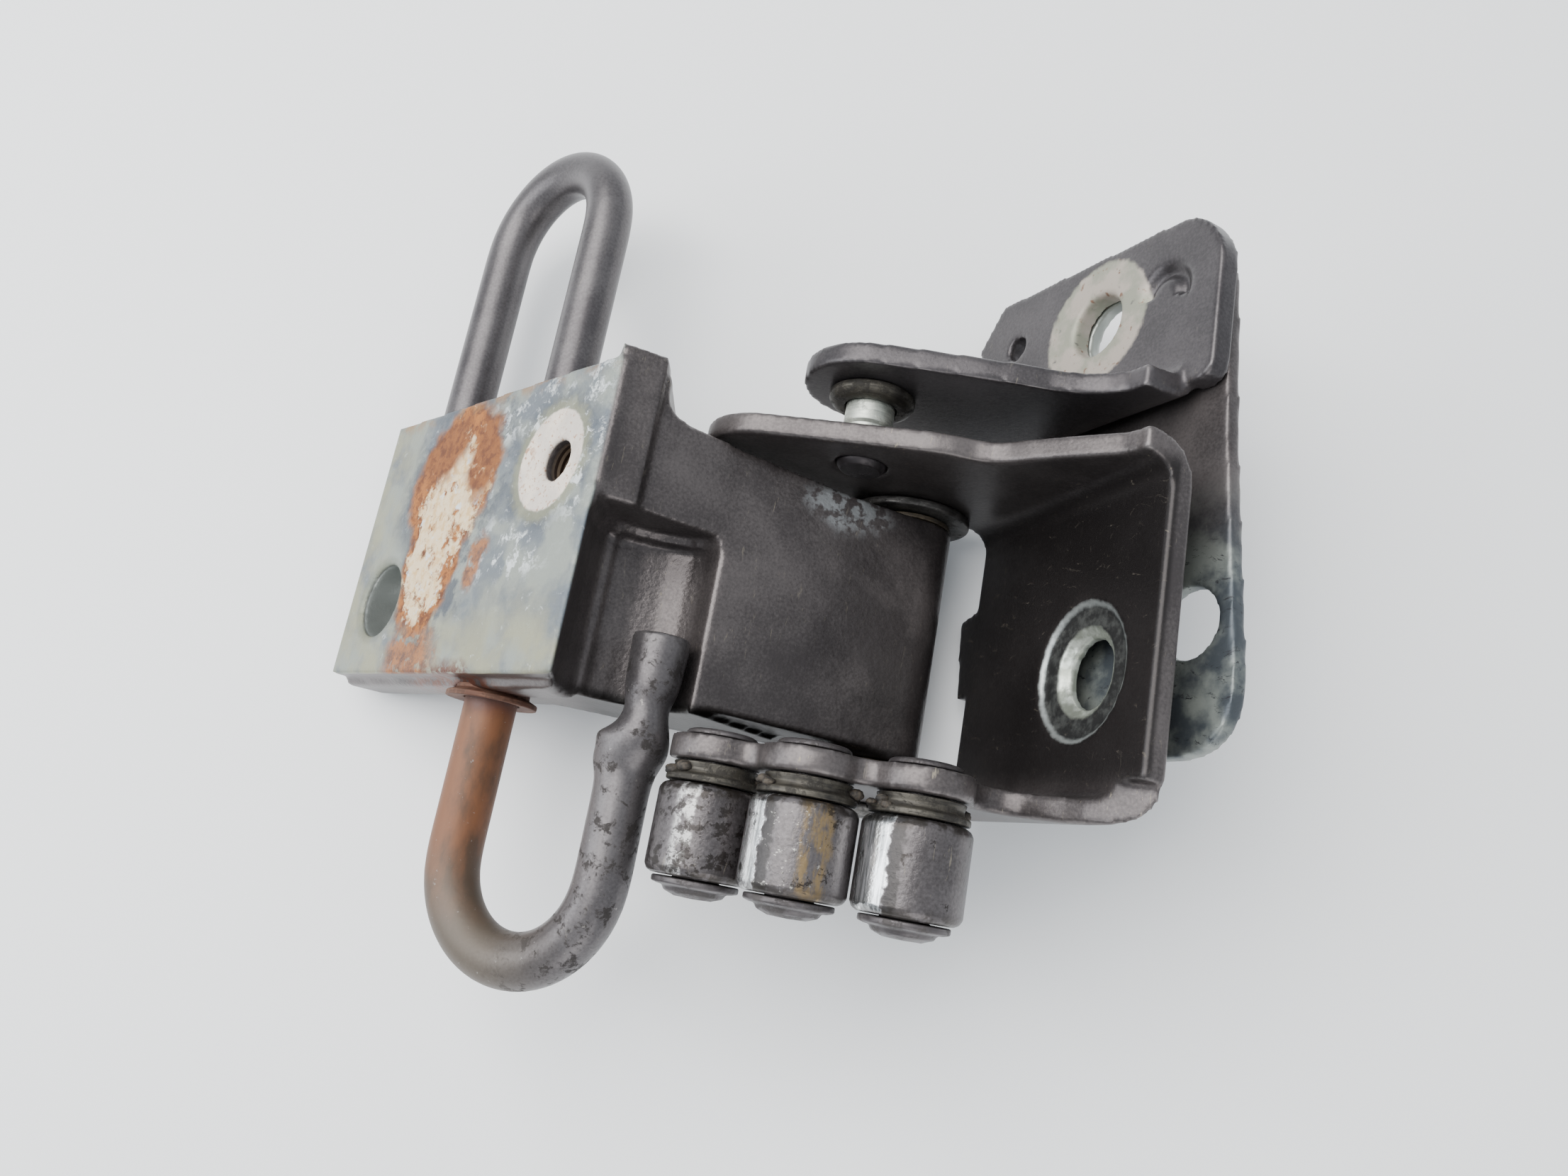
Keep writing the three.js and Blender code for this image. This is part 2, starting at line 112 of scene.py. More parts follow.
# --- floor and lights ---
studio = {
    "floorColour": (0.92, 0.925, 0.93, 1),
    "world": (0.86, 0.93, 1.0, 1),
    "worldStrength": 0.80,
    "lamps": [
        # name, place, aim, size, power, colour
        ("topPanel", (-0.28, 0.22, 0.8), (0, 0.02, 0.03), 0.8, 13.0, (1.0, 0.99, 0.97)),
        ("leftPanel", (-0.7, -0.1, 0.45), (0, 0, 0.03), 0.5, 3.5, (0.93, 0.97, 1.0)),
        ("frontPanel", (0.25, -0.7, 0.4), (0, 0, 0.03), 0.5, 2.2, (1.0, 0.98, 0.96)),
    ],
}


def makeStudio():
    bm = bmesh.new()
    bmesh.ops.create_grid(bm, x_segments=8, y_segments=8, size=1.6)
    mesh = bpy.data.meshes.new("floor")
    bm.to_mesh(mesh)
    bm.free()
    floor = bpy.data.objects.new("floor", mesh)
    scene.collection.objects.link(floor)
    paper = bpy.data.materials.new("paleFloor")
    paper.use_nodes = True
    shader = paper.node_tree.nodes["Principled BSDF"]
    shader.inputs["Base Color"].default_value = studio["floorColour"]
    shader.inputs["Roughness"].default_value = 0.7
    floor.data.materials.append(paper)
    world = bpy.data.worlds.new("softRoom")
    scene.world = world
    world.use_nodes = True
    world.node_tree.nodes["Background"].inputs["Color"].default_value = studio["world"]
    world.node_tree.nodes["Background"].inputs["Strength"].default_value = studio["worldStrength"]
    for name, place, aim, size, power, colour in studio["lamps"]:
        light = bpy.data.lights.new(name, "AREA")
        light.size = size
        light.energy = power
        light.color = colour
        lamp = bpy.data.objects.new(name, light)
        scene.collection.objects.link(lamp)
        turn = (Vector(aim) - Vector(place)).to_track_quat("-Z", "Y")
        lamp.matrix_world = Matrix.Translation(place) @ turn.to_matrix().to_4x4()


makeCamera()
makeStudio()
print("camera, floor and lights")


# --- shapes, in millimetres from the hinge pin; y runs along the pin ---
def extruded(points, shift, place=None):
    bm = bmesh.new()
    face = bm.faces.new([bm.verts.new(point) for point in points])
    raised = bmesh.ops.extrude_face_region(bm, geom=[face])["geom"]
    verts = [item for item in raised if isinstance(item, bmesh.types.BMVert)]
    bmesh.ops.translate(bm, verts=verts, vec=shift)
    if place:
        bmesh.ops.transform(bm, matrix=place, verts=bm.verts)
    bmesh.ops.recalc_face_normals(bm, faces=bm.faces)
    return bm


def prism(outline, low, high):
    # outline holds (x, z) points, raised along y
    return extruded([(x, low, z) for x, z in outline], (0, high - low, 0))


def wallFrame(start, angle):
    # x runs along the wall, y along the pin, and z out of its back
    along = heading(angle)
    out = behind(angle)
    turn = Matrix(((along.x, 0, out.x), (0, 1, 0), (along.y, 0, out.y))).to_4x4()
    return Matrix.Translation((start[0], 0, start[1])) @ turn


def wall(start, angle, outline, near, far):
    points = [(along, y, near) for along, y in outline]
    return extruded(points, (0, 0, far - near), wallFrame(start, angle))


def post(centre, radius, low, high, segments=64):
    bm = bmesh.new()
    bmesh.ops.create_cone(
        bm, cap_ends=True, segments=segments, radius1=radius, radius2=radius, depth=high - low
    )
    bmesh.ops.rotate(bm, verts=bm.verts, cent=(0, 0, 0), matrix=Matrix.Rotation(math.pi / 2, 3, "X"))
    bmesh.ops.translate(bm, verts=bm.verts, vec=(centre[0], (low + high) / 2, centre[1]))
    bmesh.ops.recalc_face_normals(bm, faces=bm.faces)
    return bm


def wallPost(start, angle, along, y, radii, near, far, segments=64):
    # a round post through a wall; radii are those at its near and far ends
    bm = bmesh.new()
    bmesh.ops.create_cone(
        bm, cap_ends=True, segments=segments, radius1=radii[0], radius2=radii[1], depth=far - near
    )
    bmesh.ops.translate(bm, verts=bm.verts, vec=(along, y, (near + far) / 2))
    bmesh.ops.transform(bm, matrix=wallFrame(start, angle), verts=bm.verts)
    bmesh.ops.recalc_face_normals(bm, faces=bm.faces)
    return bm


def asObject(name, bm):
    mesh = bpy.data.meshes.new(name)
    bm.to_mesh(mesh)
    bm.free()
    obj = bpy.data.objects.new(name, mesh)
    scene.collection.objects.link(obj)
    return obj


def applyModifiers(obj):
    bpy.context.view_layer.update()
    done = bpy.data.meshes.new_from_object(obj.evaluated_get(bpy.context.evaluated_depsgraph_get()))
    old = obj.data
    obj.modifiers.clear()
    obj.data = done
    bpy.data.meshes.remove(old)


def combine(obj, shapes, operation):
    tools = [asObject("tool", bm) for bm in shapes]
    for tool in tools:
        step = obj.modifiers.new("combine", "BOOLEAN")
        step.operation = operation
        step.object = tool
        step.solver = "EXACT"
    applyModifiers(obj)
    for tool in tools:
        old = tool.data
        bpy.data.objects.remove(tool)
        bpy.data.meshes.remove(old)


def settle(obj, voxel, smoothing):
    # one even skin, with its corners rounded a little as worn metal has
    skin = obj.modifiers.new("skin", "REMESH")
    skin.mode = "VOXEL"
    skin.voxel_size = voxel
    relax = obj.modifiers.new("relax", "SMOOTH")
    relax.factor = 0.5
    relax.iterations = smoothing
    applyModifiers(obj)


def carved(name, solids, cutters, voxel=0.65, smoothing=4):
    obj = asObject(name, solids[0])
    if len(solids) > 1:
        combine(obj, solids[1:], "UNION")
    if cutters:
        combine(obj, cutters, "DIFFERENCE")
    settle(obj, voxel, smoothing)
    return obj


def turned(name, centre, profile, bevel=0.25, steps=72):
    # profile holds (radius, y) points round a closed section
    bm = bmesh.new()
    verts = [bm.verts.new((max(radius, 0.0), y, 0)) for radius, y in profile]
    edges = [bm.edges.new((verts[i], verts[(i + 1) % len(verts)])) for i in range(len(verts))]
    bmesh.ops.spin(
        bm, geom=verts + edges, cent=(0, 0, 0), axis=(0, 1, 0), angle=math.tau, steps=steps, use_merge=True
    )
    bmesh.ops.remove_doubles(bm, verts=bm.verts, dist=0.001)
    bmesh.ops.dissolve_degenerate(bm, edges=bm.edges, dist=0.001)
    bmesh.ops.translate(bm, verts=bm.verts, vec=(centre[0], 0, centre[1]))
    bmesh.ops.recalc_face_normals(bm, faces=bm.faces)
    obj = asObject(name, bm)
    if bevel > 0:
        edge = obj.modifiers.new("edge", "BEVEL")
        edge.width = bevel
        edge.segments = 3
        edge.limit_method = "ANGLE"
        edge.angle_limit = math.radians(28)
        applyModifiers(obj)
    return obj


def finishPiece(obj, material, body, slotName, *nodes):
    obj.data.transform(toPlace)
    obj.data.polygons.foreach_set("use_smooth", [True] * len(obj.data.polygons))
    obj.data.materials.clear()
    obj.data.materials.append(material)
    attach(obj, body)
    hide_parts(*nodes)


# --- materials ---
def setInput(tree, socket, value):
    if isinstance(value, bpy.types.NodeSocket):
        tree.links.new(value, socket)
    else:
        socket.default_value = value


def addNode(tree, kind, inputs=None, **settings):
    node = tree.nodes.new(kind)
    for key, value in settings.items():
        setattr(node, key, value)
    for key, value in (inputs or {}).items():
        setInput(tree, node.inputs[key], value)
    return node


def vectorMath(tree, operation, inputs):
    return addNode(tree, "ShaderNodeVectorMath", inputs, operation=operation)


def placed(tree, turn=0.0, origin=(0, 0, 0)):
    # millimetres in the hinge's own frame, or in one turned about y at an origin in it
    coords = addNode(tree, "ShaderNodeTexCoord").outputs["Object"]
    start = pinFrame @ (Vector(origin) * 0.001)
    mapping = addNode(
        tree,
        "ShaderNodeMapping",
        {
            "Vector": coords,
            "Location": start,
            "Rotation": (0, lean - math.radians(turn), 0),
            "Scale": (0.001,) * 3,
        },
        vector_type="TEXTURE",
    )
    return mapping.outputs["Vector"]


def noise(tree, vector, scale, detail=4.0, roughness=0.55, distortion=0.0):
    return addNode(
        tree,
        "ShaderNodeTexNoise",
        {
            "Vector": vector,
            "Scale": scale,
            "Detail": detail,
            "Roughness": roughness,
            "Distortion": distortion,
        },
    ).outputs["Fac"]


def stretch(tree, vector, scale):
    return addNode(tree, "ShaderNodeMapping", {"Vector": vector, "Scale": scale}).outputs["Vector"]


def calc(tree, operation, first, second=0.0, clamp=False):
    node = addNode(tree, "ShaderNodeMath", {0: first, 1: second}, operation=operation)
    node.use_clamp = clamp
    return node.outputs[0]


def times(tree, first, second):
    return calc(tree, "MULTIPLY", first, second)


def plus(tree, first, second):
    return calc(tree, "ADD", first, second)


def band(tree, value, low, high):
    # 0 below low and 1 above high; turned over when low is the greater
    return addNode(
        tree,
        "ShaderNodeMapRange",
        {"Value": value, "From Min": low, "From Max": high},
        interpolation_type="SMOOTHSTEP",
    ).outputs["Result"]


def patches(tree, vector, scale, detail, low, high, roughness=0.55):
    # noise cut off between two levels
    return band(tree, noise(tree, vector, scale, detail, roughness), low, high)


def mixColour(tree, share, first, second):
    node = addNode(tree, "ShaderNodeMix", data_type="RGBA")
    for index, value in ((0, share), (6, first), (7, second)):
        isColour = isinstance(value, tuple)
        setInput(tree, node.inputs[index], (*value, 1) if isColour else value)
    return node.outputs[2]


def tint(tree, share, strength, under, over):
    return mixColour(tree, times(tree, share, strength), under, over)


def mixValue(tree, share, first, second):
    node = addNode(tree, "ShaderNodeMix", data_type="FLOAT")
    for index, value in ((0, share), (2, first), (3, second)):
        setInput(tree, node.inputs[index], value)
    return node.outputs[0]


def axes(tree, vector):
    split = addNode(tree, "ShaderNodeSeparateXYZ", {"Vector": vector})
    return split.outputs["X"], split.outputs["Y"], split.outputs["Z"]


def wobble(tree, vector, scale, amount):
    # moves a place by a few millimetres of noise, so a patch gets a ragged edge
    push = addNode(tree, "ShaderNodeTexNoise", {"Vector": vector, "Scale": scale, "Detail": 4.0})
    half = (0.5, 0.5, 0.5)
    centred = vectorMath(tree, "SUBTRACT", {0: push.outputs["Color"], 1: half}).outputs[0]
    scaled = vectorMath(tree, "SCALE", {0: centred, "Scale": amount}).outputs[0]
    return vectorMath(tree, "ADD", {0: vector, 1: scaled}).outputs[0]


def spot(tree, vector, centre, size, soft=0.35):
    # 1 inside an ellipsoid, fading out across its rim
    away = vectorMath(tree, "SUBTRACT", {0: vector, 1: centre}).outputs[0]
    even = vectorMath(tree, "DIVIDE", {0: away, 1: size}).outputs[0]
    reach = vectorMath(tree, "LENGTH", {0: even}).outputs["Value"]
    return band(tree, reach, 1 + soft, 1 - soft)


def both(tree, first, second):
    return calc(tree, "MULTIPLY", first, second, clamp=True)


def either(tree, first, second):
    return calc(tree, "MAXIMUM", first, second, clamp=True)


def newMaterial(name):
    material = bpy.data.materials.new(name)
    material.use_nodes = True
    return material, material.node_tree, material.node_tree.nodes["Principled BSDF"]


def setBump(tree, shader, height, strength, distance):
    bump = addNode(tree, "ShaderNodeBump", {"Height": height, "Strength": strength, "Distance": distance})
    tree.links.new(bump.outputs["Normal"], shader.inputs["Normal"])


paintLook = {
    "dark": (0.060, 0.052, 0.052),
    "light": (0.125, 0.110, 0.108),
    "worn": (0.30, 0.28, 0.275),
    "dust": (0.42, 0.37, 0.27),
    "metallic": 0.62,
}


def paintLayers(tree, vector, settings):
    # cloudy metallic paint with fine grain, dust streaks and rubbed edges
    cloud = noise(tree, vector, 0.045, 5)
    grain = noise(tree, vector, 1.9, 2)
    shade = plus(tree, times(tree, cloud, 0.7), times(tree, grain, 0.3))
    colour = mixColour(tree, band(tree, shade, 0.36, 0.64), settings["dark"], settings["light"])
    edge = addNode(tree, "ShaderNodeNewGeometry").outputs["Pointiness"]
    rubbed = both(tree, band(tree, edge, 0.52, 0.60), patches(tree, vector, 0.35, 5, 0.38, 0.56))
    colour = tint(tree, rubbed, settings.get("wear", 0.45), colour, settings["worn"])
    fibre = noise(tree, stretch(tree, vector, (1.4, 0.22, 0.9)), 1.1, 6, 0.7, 1.2)
    dusty = both(tree, band(tree, fibre, 0.60, 0.70), patches(tree, vector, 0.06, 3, 0.45, 0.60))
    dusty = times(tree, dusty, settings.get("dusty", 0.5))
    colour = mixColour(tree, dusty, colour, settings["dust"])
    rough = plus(tree, times(tree, cloud, 0.25), settings.get("roughness", 0.24))
    rough = mixValue(tree, dusty, rough, 0.85)
    height = plus(tree, times(tree, noise(tree, vector, 0.9, 3), 0.5), times(tree, grain, 0.25))
    return colour, rough, height


def paintMaterial(name, settings, bumpStrength=0.16):
    material, tree, shader = newMaterial(name)
    vector = placed(tree)
    colour, rough, height = paintLayers(tree, vector, settings)
    tree.links.new(colour, shader.inputs["Base Color"])
    tree.links.new(rough, shader.inputs["Roughness"])
    shader.inputs["Metallic"].default_value = settings["metallic"]
    setBump(tree, shader, height, bumpStrength, 0.0004)
    return material, tree, shader, vector, colour, rough


# --- pillar leaf: foot, arm and knuckle in one casting ---
footLook = {
    "left": (-116.3, -23.8),
    "right": (-58.4, 39.2),
    "height": 58.2,
    "boltHole": (13.8, 16.4, 7.7),
    "tappedHole": (71.4, 40.2, 3.9),
    "armCorner": (-34.6, 24.1),
    "rodHoles": ((-73.9, 6.9), (-99.5, -16)),
}
footSpan = Vector(footLook["right"]) - Vector(footLook["left"])
footAngle = math.degrees(math.atan2(footSpan.y, footSpan.x))
footLength = footSpan.length


def onFoot(along, depth):
    return tuple(Vector(footLook["left"]) + heading(footAngle) * along + behind(footAngle) * depth)


def leafCutters():
    # the slope over the arm, the rod's pocket, and the holes
    slope = roundCorners([(-49.8, 90), (-49.8, 51.4, 5), (-13, 48.4), (40, 48.4), (40, 90)])
    aboveArm = extruded([(x, y, -60) for x, y in slope], (0, 0, 140))
    pocketPlan = [
        onFoot(footLength + 8, -10),
        onFoot(footLength - 0.3, 0.8),
        *[(-58.5, 34), (-58.3, 27), (-57.0, 23), (-54, 20.6)],
        *[(-50, 19.2), (-45, 18.6), (-41, 19.2), (-38, 20.8)],
        (-35.6, 24.2),
        (-30, 48),
    ]
    pocket = prism(pocketPlan, -3, 30.6)
    ceilingPlan = [
        onFoot(footLength + 8, -10),
        onFoot(footLength - 0.1, 1.6),
        *[(-57.4, 34), (-57.0, 28), (-55.4, 24.6), (-52, 22.4), (-47, 21.0), (-42, 21.2), (-38.2, 22.6)],
        (-35.0, 25.2),
        (-30, 48),
    ]
    ceiling = prism(ceilingPlan, 20, 32.4)
    roundPlan = [
        *[(-61.0, 36.3), (-59.6, 37.6), (-58.0, 38.2), (-56.0, 37.9), (-54.2, 36.8)],
        (-54, 42),
        (-62, 42),
    ]
    roundedCorner = prism(roundPlan, 33.5, 70)
    hole = footLook["boltHole"]
    tapped = footLook["tappedHole"]
    start = footLook["left"]
    return [
        aboveArm,
        pocket,
        ceiling,
        roundedCorner,
        post((0, 0), 6, -5, 70),
        *[post(centre, 5.4, 20 if centre[0] < -90 else -5, 70) for centre in footLook["rodHoles"]],
        wallPost(start, footAngle, hole[0], hole[1], (hole[2], hole[2]), -2, 16),
        wallPost(start, footAngle, hole[0], hole[1], (hole[2] + 1.4, hole[2] - 0.4), -0.6, 1.2),
        wallPost(start, footAngle, tapped[0], tapped[1], (tapped[2], tapped[2]), -2, 17),
        wallPost(start, footAngle, tapped[0], tapped[1], (tapped[2] + 1.0, tapped[2] - 0.2), -0.5, 0.8),
    ]


def makePillarLeaf():
    top = footLook["height"]
    corner = footLook["armCorner"]
    plate = prism(
        [onFoot(0, 0), onFoot(footLength, 0), onFoot(footLength, 13.5), onFoot(0, 13.5)], 0.4, top
    )
    lip = prism([onFoot(-0.8, 4), onFoot(footLength, 4), onFoot(footLength, 13), onFoot(0, 13)], -1.2, 3)
    core = prism(
        [
            onFoot(36, 12.5),
            onFoot(footLength, 5),
            corner,
            (-20, 6),
            (-26, -12),
            onFoot(52, 24.5),
            onFoot(42, 24.5),
        ],
        0,
        top,
    )
    earPlan = [
        onFoot(footLength - 1.2, 0.4), (-50.8, 35), (-50.6, 30), (-54.5, 23), onFoot(footLength - 15, 9)
    ]
    ear = prism(earPlan, 12, top + 2.8)
    armPlan = [corner, (3.6, 8.1), (0, -8.8), (-24, -13), (-40, -4)]
    armBlock = prism(armPlan, 1.2, top)
    knuckle = post((0, 0), 8.9, 0, top)
    return carved("pillarLeaf", [plate, lip, core, ear, armBlock, knuckle], leafCutters(), 0.7, 4)


leafLook = {
    "zinc": (0.26, 0.28, 0.25),
    "zincBlue": (0.13, 0.15, 0.17),
    "zincOlive": (0.30, 0.29, 0.19),
    "halo": (0.045, 0.055, 0.075),
    "crust": (0.66, 0.69, 0.70),
    "cream": (0.72, 0.57, 0.37),
    "rust": (0.34, 0.12, 0.026),
    "rustDark": (0.115, 0.036, 0.013),
    "ringWhite": (0.74, 0.65, 0.55),
    "ringSpeck": (0.36, 0.17, 0.08),
    "ringGrey": (0.60, 0.54, 0.48),
    "seatRim": (0.24, 0.24, 0.15),
    "seatCentre": (69.6, 40.4, 0),
    "creamStain": (0.62, 0.42, 0.20),
    "topRust": (0.30, 0.16, 0.06),
    "boltWall": (0.34, 0.36, 0.34),
    "boltRim": (0.16, 0.17, 0.13),
    "threadDark": (0.05, 0.03, 0.02),
    "threadLight": (0.34, 0.26, 0.19),
    "bloom": (0.42, 0.44, 0.45),
    "bottomBlack": (0.012, 0.010, 0.009),
    "underRust": (0.12, 0.045, 0.028),
    # colour of the painted shade near the pin
    "pinShade": (0.022, 0.019, 0.020),
}


def leafZinc(tree, face, ragged, fine):
    # grey-green, blue-grey in clouds, olive along the lower and left edges, with white crust
    along, up = axes(tree, face)[:2]
    clouds = patches(tree, ragged, 0.06, 5, 0.42, 0.6)
    zinc = mixColour(tree, clouds, leafLook["zinc"], leafLook["zincBlue"])
    edgeTint = either(tree, band(tree, up, 22, 4), band(tree, along, 18, 4))
    edgeTint = both(tree, edgeTint, patches(tree, face, 0.09, 4, 0.34, 0.6))
    zinc = tint(tree, edgeTint, 0.85, zinc, leafLook["zincOlive"])
    patchWide = either(
        tree,
        spot(tree, ragged, (35, 41, 0), (22, 21, 20), 0.2),
        spot(tree, ragged, (34, 22, 0), (16, 18, 20), 0.2),
    )
    seatWide = spot(tree, fine, leafLook["seatCentre"], (13.5, 13.5, 20), 0.22)
    haloNoise = patches(tree, fine, 0.16, 5, 0.40, 0.56, 0.6)
    halo = both(tree, either(tree, patchWide, seatWide), haloNoise)
    zinc = tint(tree, halo, 0.8, zinc, leafLook["halo"])
    oliveRim = spot(tree, fine, leafLook["seatCentre"], (12, 12, 20), 0.1)
    zinc = tint(tree, oliveRim, 0.7, zinc, leafLook["seatRim"])
    crustPlace = either(
        tree,
        either(
            tree,
            spot(tree, ragged, (60, 52, 0), (13, 6, 20), 0.5),
            spot(tree, ragged, (80, 44, 0), (5, 16, 20), 0.5),
        ),
        spot(tree, ragged, (62, 24, 0), (12, 6, 20), 0.5),
    )
    crust = both(tree, patches(tree, fine, 0.22, 9, 0.52, 0.60, 0.74), crustPlace)
    few = patches(tree, face, 0.06, 2, 0.42, 0.56)
    flecks = both(tree, patches(tree, fine, 0.4, 8, 0.60, 0.66, 0.7), few)
    crust = either(tree, crust, times(tree, flecks, 0.55))
    return tint(tree, crust, 0.88, zinc, leafLook["crust"]), crust


def leafPatch(tree, face, ragged, fine, zinc):
    # cream where the rust has flaked off, with a rusty rim and darker lumps at its top
    shape = either(
        tree,
        spot(tree, ragged, (34, 41, 0), (17, 17, 20), 0.10),
        spot(tree, ragged, (32, 22, 0), (12, 14, 20), 0.12),
    )
    core = either(
        tree,
        spot(tree, ragged, (36, 37, 0), (13, 13, 20), 0.45),
        spot(tree, ragged, (31, 22, 0), (9, 12, 20), 0.45),
    )
    lumps = either(
        tree,
        spot(tree, ragged, (27, 48, 0), (9, 7, 20), 0.4),
        spot(tree, ragged, (45, 46, 0), (6, 11, 20), 0.4),
    )
    flakeLevel = plus(tree, times(tree, core, 0.24), noise(tree, fine, 0.22, 9, 0.74))
    lumpy = both(tree, lumps, patches(tree, fine, 0.2, 6, 0.34, 0.46))
    flake = both(tree, band(tree, flakeLevel, 0.62, 0.70), calc(tree, "SUBTRACT", 1.0, lumpy))
    mottle = patches(tree, fine, 0.4, 7, 0.42, 0.62, 0.7)
    rust = mixColour(tree, mottle, leafLook["rust"], leafLook["rustDark"])
    rust = tint(tree, lumps, 0.5, rust, leafLook["rustDark"])
    stain = patches(tree, fine, 0.5, 6, 0.45, 0.65)
    cream = mixColour(tree, stain, leafLook["cream"], leafLook["creamStain"])
    cream = mixColour(tree, patches(tree, fine, 0.3, 5, 0.58, 0.70), cream, leafLook["crust"])
    zinc = mixColour(tree, shape, zinc, mixColour(tree, flake, rust, cream))
    low = spot(tree, ragged, (34, 3, 0), (10, 7, 20))
    side = spot(tree, ragged, (51, 22, 0), (3, 4.5, 20))
    lowRust = both(tree, either(tree, low, side), patches(tree, fine, 0.34, 6, 0.34, 0.48))
    zinc = tint(tree, lowRust, 0.92, zinc, rust)
    up = axes(tree, face)[1]
    topRust = both(tree, band(tree, up, 54.5, 58.5), patches(tree, face, 0.2, 5, 0.45, 0.6))
    return tint(tree, topRust, 0.8, zinc, leafLook["topRust"]), shape, flake


def leafSeat(tree, face, zinc):
    # a washer's pale seat round the tapped hole, speckled with rust
    seat = spot(tree, wobble(tree, face, 0.5, 0.9), leafLook["seatCentre"], (10, 10, 40), 0.03)
    clouds = patches(tree, face, 0.12, 4, 0.4, 0.6)
    colour = mixColour(tree, clouds, leafLook["ringWhite"], leafLook["ringGrey"])
    leftSide = band(tree, axes(tree, face)[0], 66, 60)
    specks = either(
        tree,
        patches(tree, face, 0.9, 5, 0.57, 0.62, 0.7),
        both(tree, leftSide, patches(tree, face, 0.45, 6, 0.52, 0.60)),
    )
    colour = tint(tree, specks, 0.8, colour, leafLook["ringSpeck"])
    return mixColour(tree, seat, zinc, colour), seat


def leafHoles(tree, face, onFace, whole):
    # the walls of both holes are bare, and one has a thread
    out = axes(tree, face)[2]
    boltAlong, boltUp = footLook["boltHole"][:2]
    tappedAlong, tappedUp = footLook["tappedHole"][:2]
    boltWall = spot(tree, face, (boltAlong, boltUp, -7), (8.9, 8.9, 16), 0.04)
    boltWall = both(tree, boltWall, band(tree, out, -0.5, -1.2))
    whole = mixColour(tree, boltWall, whole, leafLook["boltWall"])
    rim = spot(tree, face, (boltAlong, boltUp, 0), (9.6, 9.6, 20), 0.06)
    whole = tint(tree, both(tree, rim, onFace), 0.45, whole, leafLook["boltRim"])
    tappedWall = spot(tree, face, (tappedAlong, tappedUp, -9), (4.6, 4.6, 12), 0.05)
    tappedWall = both(tree, tappedWall, band(tree, out, -0.4, -1.0))
    thread = band(tree, calc(tree, "SINE", times(tree, out, 5.0)), -0.4, 0.4)
    threadColour = mixColour(tree, thread, leafLook["threadDark"], leafLook["threadLight"])
    return mixColour(tree, tappedWall, whole, threadColour)


def leafDirtAndShade(tree, vector, ragged, fine, whole):
    # white bloom on the arm's top edge, rust underneath, near black along the bottom end, and painted shade
    # in patches near the pin
    bloom = both(
        tree,
        spot(tree, wobble(tree, vector, 0.2, 6), (-14, 46, 12), (8, 5, 12), 0.4),
        patches(tree, vector, 0.5, 6, 0.42, 0.55),
    )
    whole = tint(tree, bloom, 0.75, whole, leafLook["bloom"])
    x, y = axes(tree, vector)[:2]
    # near black along the bottom end, between x -62 and -52
    below = both(tree, band(tree, y, 2.6, 0.6), band(tree, x, -62, -52))
    whole = mixColour(tree, below, whole, leafLook["bottomBlack"])
    underRust = spot(tree, ragged, (46, -1, -6), (16, 3.5, 12))
    underRust = both(tree, underRust, patches(tree, fine, 0.5, 5, 0.4, 0.52))
    whole = mixColour(tree, underRust, whole, leafLook["underRust"])
    # painted shade, broken into patches, darkens the arm near the pin
    pinShade = both(tree, band(tree, x, -24, -8), patches(tree, vector, 0.07, 6, 0.36, 0.60, 0.6))
    return tint(tree, pinShade, 0.55, whole, leafLook["pinShade"])


def leafMaterial():
    settings = dict(paintLook, dusty=0.35)
    material, tree, shader, vector, colour, rough = paintMaterial("castingPaint", settings)
    face = placed(tree, footAngle, (footLook["left"][0], 0, footLook["left"][1]))
    ragged = wobble(tree, face, 0.13, 11)
    fine = wobble(tree, face, 0.7, 3)
    onFace = band(tree, axes(tree, face)[2], -1.1, -0.5)
    zinc, crust = leafZinc(tree, face, ragged, fine)
    zinc, patchShape, flake = leafPatch(tree, face, ragged, fine, zinc)
    zinc, seat = leafSeat(tree, face, zinc)
    whole = leafHoles(tree, face, onFace, mixColour(tree, onFace, colour, zinc))
    whole = leafDirtAndShade(tree, vector, ragged, fine, whole)
    tree.links.new(whole, shader.inputs["Base Color"])
    matt = either(tree, either(tree, crust, patchShape), seat)
    faceRough = mixValue(tree, matt, 0.45, 0.9)
    tree.links.new(mixValue(tree, onFace, rough, faceRough), shader.inputs["Roughness"])
    bare = calc(tree, "SUBTRACT", 1.0, matt, clamp=True)
    metal = mixValue(tree, onFace, settings["metallic"], times(tree, bare, 0.55))
    tree.links.new(metal, shader.inputs["Metallic"])
    raised = times(tree, either(tree, flake, crust), 0.35)
    relief = plus(tree, noise(tree, fine, 0.35, 7, 0.7), raised)
    grainy = times(tree, noise(tree, vector, 0.9, 3), 0.25)
    setBump(tree, shader, mixValue(tree, onFace, grainy, relief), 0.45, 0.0009)
    return material


pillarLeaf = makePillarLeaf()
finishPiece(pillarLeaf, leafMaterial(), "pillar", "cast_paint", "pillar_leaf")
print("pillar leaf", len(pillarLeaf.data.polygons))


# --- torsion rod ---
rodLook = {
    "anchor": (-99.5, -16),
    "long": (-73.9, 6.9),
    "free": (-44.6, 22.3),
    "tip": (-42.7, 25.3),
    "radius": 5.0,
    "top": 100.5,
    "bottom": -30.5,
    "tipHeight": 12.4,
    "rust": (0.17, 0.066, 0.026),
    "rustDark": (0.075, 0.036, 0.018),
}


